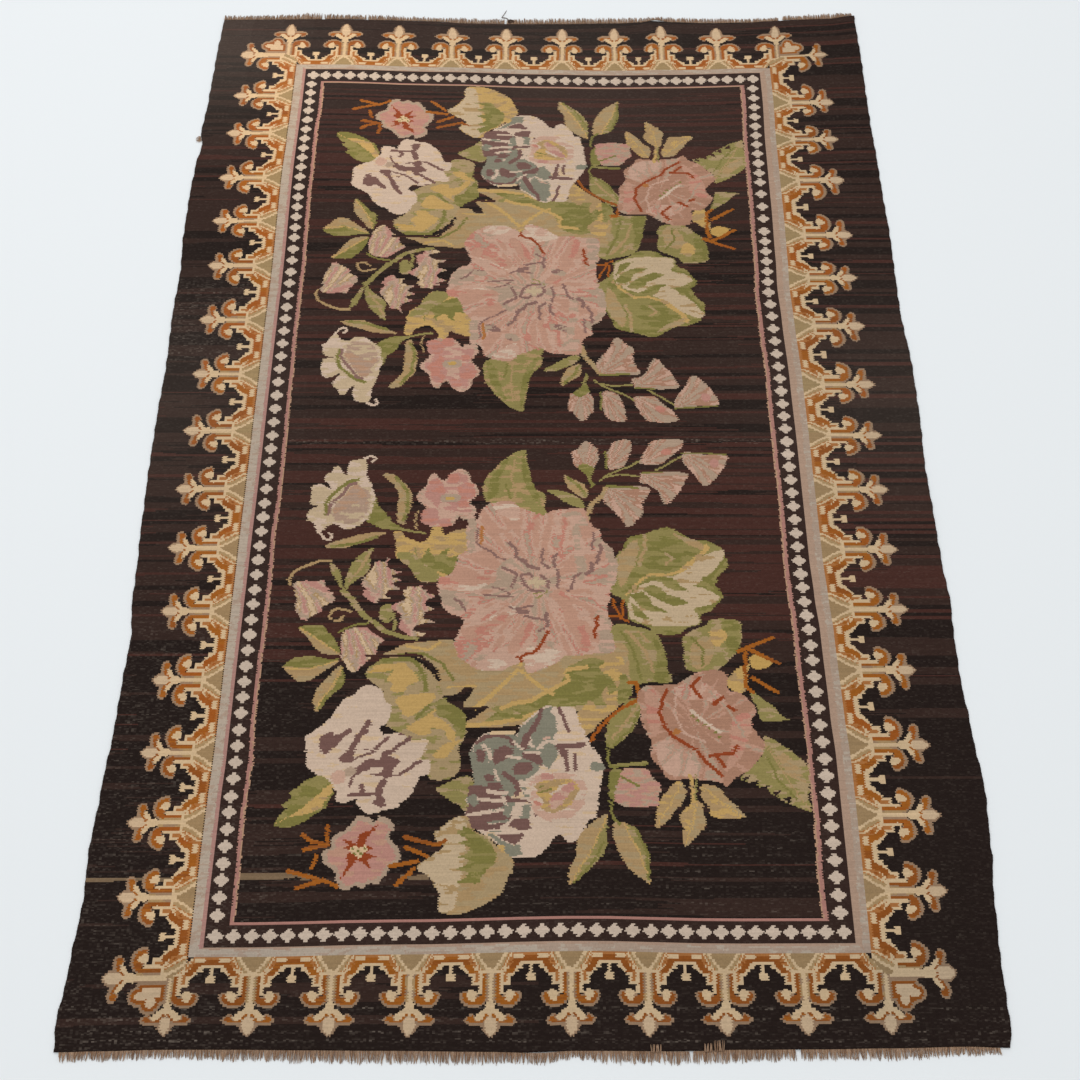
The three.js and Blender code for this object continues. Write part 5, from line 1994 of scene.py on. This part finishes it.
@dataclass
class SideTuft:
    """The wisps of broken weft at the left selvedge."""

    low: float = 978
    high: float = 998
    wisps: int = 26
    reach: Pair = (5, 16)
    drift: Pair = (-9, 4)
    curl: float = 2.5
    taper: Sizes = (0.6, 0.6, 0.55, 0.45, 0.3)
    yarns: WarpCotton = WarpCotton()

    def build(self) -> Object:
        """Build the tuft.

        Returns:
            The piece.
        """
        random = np.random.default_rng(5)
        strands = Strands("selvedge_tuft")
        shades = np.array([linear(shade)[:3] for shade in self.yarns.shades])
        for _ in range(self.wisps):
            y = random.uniform(self.low, self.high)
            x = float(WEB.selvedge(-1, np.array(y))) - WEB.weft_loop - 0.9
            reach, drift = random.uniform(*self.reach), random.uniform(*self.drift)
            t = np.linspace(0, 1, len(self.taper))
            curl = random.uniform(-self.curl, self.curl) * np.sin(math.pi * t)
            z = 1.4 * (1 - t) + 0.7 + random.uniform(0, 1.5) * np.sin(math.pi * t)
            route = np.stack([x - reach * t, y + drift * t + curl, z], 1)
            strands.lay(route, np.array(self.taper), shades[random.integers(len(shades))])
        return strands.build()


def node(tree: NodeTree, kind: str, inputs: dict | None = None, **settings: object) -> Node:
    """Add a shader node.

    Args:
        tree: The tree to add it to.
        kind: Its type, without the ShaderNode prefix.
        inputs: For each input, by name or number, an output to link to it or its value.
        settings: The node's own settings.

    Returns:
        The node.
    """
    made = tree.nodes.new("ShaderNode" + kind)
    for key, value in settings.items():
        setattr(made, key, value)
    for key, value in (inputs or {}).items():
        if isinstance(value, NodeSocket):
            tree.links.new(value, made.inputs[key])
        else:
            made.inputs[key].default_value = value
    return made


def compute(tree: NodeTree, operation: str, *values: object) -> NodeSocket:
    """Add a maths node on outputs or numbers, and give its result."""
    return node(tree, "Math", dict(enumerate(values)), operation=operation).outputs[0]


def clouds(tree: NodeTree, place: NodeSocket, scale: float | tuple, detail: int) -> NodeSocket:
    """Add a noise texture.

    Args:
        tree: The tree to add it to.
        place: Where it is read.
        scale: How often it changes in a metre, or how often along each axis.
        detail: How many finer layers it has.

    Returns:
        Its value.
    """
    if isinstance(scale, tuple):
        place = node(tree, "Mapping", {"Vector": place, "Scale": scale}).outputs[0]
        scale = 1
    inputs = {"Vector": place, "Scale": scale, "Detail": detail}
    return node(tree, "TexNoise", inputs).outputs["Fac"]


def cells(tree: NodeTree, place: NodeSocket, wide: float, high: float) -> NodeSocket:
    """Add a random value for each cell of a grid, whose sizes are in millimetres."""
    spacing = (wide * MM, high * MM, 1)
    cell = node(tree, "VectorMath", {0: place, 1: spacing}, operation="SNAP").outputs[0]
    return node(tree, "TexWhiteNoise", {"Vector": cell}, noise_dimensions="2D").outputs["Value"]


def toned(tree: NodeTree, yarn: Node, tone: NodeSocket) -> NodeSocket:
    """Scale the colour of the yarn attribute by a tone."""
    inputs = {0: yarn.outputs["Color"], "Scale": tone}
    return node(tree, "VectorMath", inputs, operation="SCALE").outputs[0]


def new_material(name: str) -> tuple[Material, NodeTree]:
    """Make an empty node material."""
    material = bpy.data.materials.new(name)
    material.use_nodes = True
    material.node_tree.nodes.clear()
    return material, material.node_tree


def surface(tree: NodeTree, inputs: dict) -> None:
    """Give a material its surface, with the refraction of wool, cotton and paint."""
    shader = node(tree, "BsdfPrincipled", {"IOR": 1.45, **inputs})
    node(tree, "OutputMaterial", {"Surface": shader.outputs[0]})


@dataclass(frozen=True)
class KilimWool:
    """Weft-faced hand-spun wool.

    The weft is beaten down hard over a doubled warp, so the warp only shows as small dull
    ribs, and decades of feet have felted the surface. It reads matt and a little dusty,
    with fine streaks along the picks where each length of yarn took the dye differently,
    and pale dots of warp where the wool is walked thin.
    """

    roughness: float = 0.9
    specular: float = 0.08
    streak: float = 0.14
    speckle: float = 0.14
    abrash: float = 0.08
    warp_colour: str = "#a09284"
    rib: float = 2.85
    dot_across: float = 5.7
    dot_rareness: float = 4
    bump: float = 0.25
    fibre_depth: float = 0.4
    # Streaks 80 mm long and 4 mm high, as each length of weft lies in the web
    streak_scale: Sizes = (12, 240, 1)
    # Slow changes of dye lot and fading, about 0.4 m across
    abrash_scale: float = 2.6
    # Clumps of worn dots, 40 mm long and 6 mm high, and how their noise is spread over 0.2 to 2
    clump_scale: Sizes = (25, 170, 1)
    clump_range: ClassVar[dict[int, float]] = {1: 0.35, 2: 0.7, 3: 0.2, 4: 2.0}
    fibre_scale: Sizes = (350, 120, 1)

    def build(self) -> Material:
        """Build the material.

        Returns:
            The material, which reads the colour and wear in the yarn attribute.
        """
        material, tree = new_material("kilim_wool")
        yarn = node(tree, "VertexColor", layer_name="yarn")
        place = node(tree, "TexCoord").outputs["Object"]
        streak = clouds(tree, place, self.streak_scale, 2)
        # One tone per rib and pick, drawn no coarser than the web itself
        grain = cells(tree, place, self.rib, self.rib)
        slow = clouds(tree, place, self.abrash_scale, 1)
        tone = 1.0
        for source, amount in (
            (streak, self.streak * 2),
            (grain, self.speckle),
            (slow, self.abrash * 2),
        ):
            scaled = compute(tree, "MULTIPLY_ADD", source, amount, 1 - amount / 2)
            tone = compute(tree, "MULTIPLY", tone, scaled)
        dyed = toned(tree, yarn, tone)
        # Worn dots come thick in one clump and thin in the next
        dot = cells(tree, place, self.dot_across, self.rib)
        clump = clouds(tree, place, self.clump_scale, 1)
        often = node(tree, "MapRange", {0: clump, **self.clump_range}).outputs[0]
        thin = compute(tree, "MULTIPLY", compute(tree, "POWER", dot, self.dot_rareness), often)
        thin = compute(tree, "MULTIPLY", thin, yarn.outputs["Alpha"])
        inputs = {0: thin, 6: dyed, 7: linear(self.warp_colour)}
        shown = node(tree, "Mix", inputs, data_type="RGBA")
        inputs = {
            "Height": clouds(tree, place, self.fibre_scale, 2),
            "Strength": self.bump,
            "Distance": self.fibre_depth * MM,
        }
        relief = node(tree, "Bump", inputs)
        inputs = {
            "Base Color": shown.outputs[2],
            "Roughness": self.roughness,
            "Specular IOR Level": self.specular,
            "Normal": relief.outputs[0],
        }
        surface(tree, inputs)
        return material


@dataclass(frozen=True)
class FibreFinish:
    """Loose yarn: plied fibre without a web to hold it, matt and slightly see-through."""

    name: str
    roughness: float = 0.93
    specular: float = 0.1
    # Fibre clumps of about 3 mm, coarser than the fibres so that the eye can see them, and
    # how far they change the tone from its lowest
    clumps: float = 330
    tones: Pair = (0.5, 0.75)

    def build(self) -> Material:
        """Build the material.

        Returns:
            The material, which reads the colour in the yarn attribute.
        """
        material, tree = new_material(self.name)
        yarn = node(tree, "VertexColor", layer_name="yarn")
        place = node(tree, "TexCoord").outputs["Object"]
        lit = compute(tree, "MULTIPLY_ADD", clouds(tree, place, self.clumps, 2), *self.tones)
        inputs = {
            "Base Color": toned(tree, yarn, lit),
            "Roughness": self.roughness,
            "Specular IOR Level": self.specular,
        }
        surface(tree, inputs)
        return material


@dataclass
class Studio:
    """The pale floor, the soft light and the camera."""

    floor_colour: str = "#eaeef0"
    floor_size: float = 16
    sky: tuple[float, float, float] = (0.99, 0.995, 1.0)
    sky_strength: float = 0.86
    key_power: float = 60
    key_size: Pair = (4.5, 3.5)
    key_place: Sizes = (-1.5, 2.5, 5)
    key_turn: Sizes = (-26, -16, 0)
    lens: float = 48
    camera_place: Sizes = (0.0110, -1.9624, 2.9937)
    camera_turn: Sizes = (29.014, 0.123, 0.030)

    def floor(self) -> Object:
        """Lay the floor: matt painted board, which gives the eye nothing but light.

        Returns:
            The floor.
        """
        h = self.floor_size / 2 / MM
        corners = np.array([(-h, -h, 0), (h, -h, 0), (h, h, 0), (-h, h, 0)], float)
        floor = new_mesh("floor", corners, np.array([(0, 1, 2), (0, 2, 3)]))
        material, tree = new_material("painted_floor")
        surface(tree, {"Base Color": linear(self.floor_colour), "Roughness": 0.9})
        floor.data.materials.append(material)
        return floor

    def light(self) -> None:
        """Hang one broad softbox beyond the head on the left, under an even white ceiling."""
        scene = bpy.context.scene
        world = bpy.data.worlds.new("studio")
        world.use_nodes = True
        tree = world.node_tree
        tree.nodes.clear()
        glow = node(
            tree, "Background", {"Color": (*self.sky, 1), "Strength": self.sky_strength}
        )
        node(tree, "OutputWorld", {"Surface": glow.outputs[0]})
        scene.world = world
        lamp = bpy.data.lights.new("softbox", "AREA")
        lamp.shape = "RECTANGLE"
        lamp.size, lamp.size_y = self.key_size
        lamp.energy = self.key_power
        hung = bpy.data.objects.new("softbox", lamp)
        hung.location = self.key_place
        hung.rotation_euler = [math.radians(a) for a in self.key_turn]
        scene.collection.objects.link(hung)

    def camera(self) -> None:
        """Stand the camera past the foot of the rug, looking down at it."""
        scene = bpy.context.scene
        lens = bpy.data.cameras.new("camera")
        lens.lens = self.lens
        lens.sensor_width = 36
        camera = bpy.data.objects.new("camera", lens)
        camera.location = self.camera_place
        camera.rotation_euler = [math.radians(a) for a in self.camera_turn]
        scene.collection.objects.link(camera)
        scene.camera = camera
        scene.view_settings.view_transform = "Standard"


# How much the red, green and blue of the light wools rise under the painted light, and fall under the painted
# shade
PAINTED_LIGHT_RGB = np.array((1.0, 0.8, 0.55))


@dataclass(frozen=True)
class Wear:
    """Where feet, dust and the loom left their marks, and where light, shade and sheen are painted on."""

    base: float = 0.035
    # Bands of worn wool: how thin, then from where to where and how soft across, then along
    bands: Route = (
        "0.06,-990,-640,120,-1500,-600,250 0.1,-990,-700,60,250,450,60 "
        "0.16,-930,930,60,-1382,-1378,2 0.16,-930,930,60,-1404,-1400,2 "
        "0.16,-930,930,60,-1428,-1424,2 0.16,-930,930,60,-1445,-1441,2 "
        "0.12,-600,600,40,-30,-20,3"
    )
    # Near the foot of the field only some rows are worn, one in so many millimetres
    field_rows: Route = "0.1,-560,560,60,-1180,-1010,30"
    row_gap: float = 17
    row_edge: float = 0.75
    # How much of the wear shows on light wools, and how strongly painted light and shade change them
    on_light: float = 0.3
    painted_light_share: float = 0.38
    # Painted light on the light wools, brighter and warmer towards the head's left corner and the head, as x,
    # y and spread across and along, with its share; then the bands of painted shade along the foot end and
    # the right border
    painted_light_corner: Sizes = (-800, 1350, 560, 600, 1)
    painted_light_head: Sizes = (-200, 1450, 700, 350, 0.4)
    painted_shade_foot: Sizes = (0.12, -1500, -1290, 60)
    painted_shade_right: Sizes = (0.09, 700, 1000, 60)
    # Dust and painted sheen as x, y, how far it spreads and how thick it lies: the pale haze at the head and
    # at its left corner is painted sheen
    dust_and_sheen: tuple[tuple[float, float, float, float], ...] = (
        (-960, 1380, 320, 0.09),
        (0, 1350, 600, 0.035),
        (950, 100, 330, 0.035),
        (-950, 100, 360, 0.035),
    )

    def mark(self, draft: Draft) -> None:
        """Set how thin the wool is worn, the painted light and shade on it, and its dust and painted sheen,
        at each crossing.

        Args:
            draft: The draft to mark.
        """
        x, y = draft.x, draft.y

        def band(at: Array, low: float, high: float, soft: float) -> Array:
            """Rise to one from low to high, easing in over a soft edge on both sides."""
            return np.clip((at - low) / soft + 1, 0, 1) * np.clip((high - at) / soft + 1, 0, 1)

        def blob(at_x: float, at_y: float, wide: float, long: float, share: float) -> Array:
            """Give a share that fades out from a middle."""
            return share * np.exp(-(((x - at_x) / wide) ** 2 + ((y - at_y) / long) ** 2))

        wear = np.full(x.shape, self.base)
        worn_rows = np.sin(y * 2 * np.pi / self.row_gap) > self.row_edge
        for table, where in ((self.bands, 1), (self.field_rows, worn_rows)):
            for depth, *sizes in read(table):
                wear += depth * band(x, *sizes[:3]) * band(y, *sizes[3:]) * where
        light = np.isin(draft.yarn, (Yarn.SOOT, Yarn.UMBER, Yarn.MADDER), invert=True)
        draft.wear[:] = np.where(light, self.on_light * wear, wear)
        # Painted shade darkens the light wools along the foot end and the right border, and painted light
        # brightens them towards the head's left corner
        painted_shade = self.painted_shade_foot[0] * band(y, *self.painted_shade_foot[1:])
        painted_shade = painted_shade + self.painted_shade_right[0] * band(x, *self.painted_shade_right[1:])
        painted_light = np.maximum(blob(*self.painted_light_corner), blob(*self.painted_light_head))
        draft.painted_light[:] = np.where(light, self.painted_light_share * painted_light - painted_shade, 0)
        # A pale haze of dust, and painted sheen at the head and its left corner
        for at_x, at_y, spread, depth in self.dust_and_sheen:
            off = ((x - at_x) ** 2 + (y - at_y) ** 2) / spread**2
            draft.dust_and_sheen += depth * np.exp(-off)


# Where a point of the cartoon's height lies further up in the head's bouquet
HEAD_DRIFT: Route = (
    "-1190,-6 -1060,0 -975,5 -915,5 -770,20 -672,28 -640,25 -450,25 -273,22 -200,20 -106,16 -25,10"
)
# How far the head's bouquet lies to the left, and how much narrower it is
HEAD_ASIDE, HEAD_NARROW = 8, 0.99
# How often an edge steps from pick to pick, and how far at most
STEP_SHARE, STEP = 0.4, 2.6
# Stray lengths of another wool in the foot's ground: from where to where across, then along,
# and how much of them it takes
STRAYS: Route = "-960,-690,-1124,-1116 -640,-480,-1121,-1106 -290,-230,-1120,-1109"
STRAY_SHARE = 0.85


def cartoon_for(draft: Draft, cut: int, at_head: bool) -> Cartoon:
    """Lay the cartoon over one half of the draft.

    Args:
        draft: The draft.
        cut: The pick where the head half begins.
        at_head: Whether it is the head's half, where the cartoon was turned over.

    Returns:
        The cartoon, ready to weave from.
    """
    part = slice(cut, None) if at_head else slice(0, cut)
    x, y = draft.toothed_x[part], draft.toothed_y[part]
    if at_head:
        low, high, stations = -1300, 40, 400
        own = np.linspace(low, high, stations)
        seen = -own + ease(HEAD_DRIFT, own)
        y = np.interp(y, seen[::-1], own[::-1])
        x = (x + HEAD_ASIDE) / HEAD_NARROW
    # The weaver turned each wool back after two or three picks, so edges climb in small steps
    random = np.random.default_rng(12)
    picks = np.cumsum(random.random(x.shape[0]) < STEP_SHARE)
    step = random.uniform(-STEP, STEP, picks[-1] + 1)[picks]
    x = x + step[:, None]
    grain = [streaks[part] for streaks in draft.grain]
    return Cartoon(draft.yarn[part], draft.yarn[part].copy(), x, y, grain)


def weave_draft(cut: int) -> Draft:
    """Weave the whole pattern into a draft.

    Args:
        cut: The pick that parts the foot's bouquet from the head's.

    Returns:
        The finished draft.
    """
    draft = Draft()
    Ground().weave(draft, Rows(3))
    thin = draft.grain[0] < STRAY_SHARE
    for left, right, low, high in read(STRAYS):
        stray = (draft.x > left) & (draft.x < right) & (draft.y > low) & (draft.y < high)
        draft.yarn[stray & thin] = Yarn.STRAY
    for at_head in (False, True):
        Bouquet(cartoon_for(draft, cut, at_head), at_head).weave()
    Guard().weave(draft)
    Palmettes().weave(draft)
    Wear().mark(draft)
    return draft


def main() -> None:
    """Build the rug, dress the frame with it, and set up the studio."""
    logging.basicConfig(level=logging.INFO, format="%(name)s: %(message)s")
    cut = 513
    draft = weave_draft(cut)
    LOG.info("draft: %d picks of %d crossings", WEB.picks, WEB.columns)
    wool = KilimWool().build()
    warp = FibreFinish("warp_cotton").build()
    loose = FibreFinish("broken_weft").build()
    noise = Rows(7)
    for end, target in ((End.FOOT, "fringe_foot"), (End.HEAD, "fringe_head")):
        fringe = Fringe(end).build()
        fringe.data.materials.append(warp)
        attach(fringe, "root")
        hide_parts(target)
    for name, first, last, end in (
        ("cloth_foot", 0, cut, End.FOOT),
        ("cloth_head", cut, WEB.picks, End.HEAD),
    ):
        cloth = Cloth(name, first, last)
        piece = cloth.build(draft, noise)
        piece.data.materials.append(wool)
        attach(piece, "root")
        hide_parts("kilim_cloth")
    tuft = SideTuft().build()
    tuft.data.materials.append(loose)
    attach(tuft, "root")
    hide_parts("side_tuft")
    studio = Studio()
    studio.floor()
    studio.light()
    studio.camera()


if __name__ == "__main__":
    main()
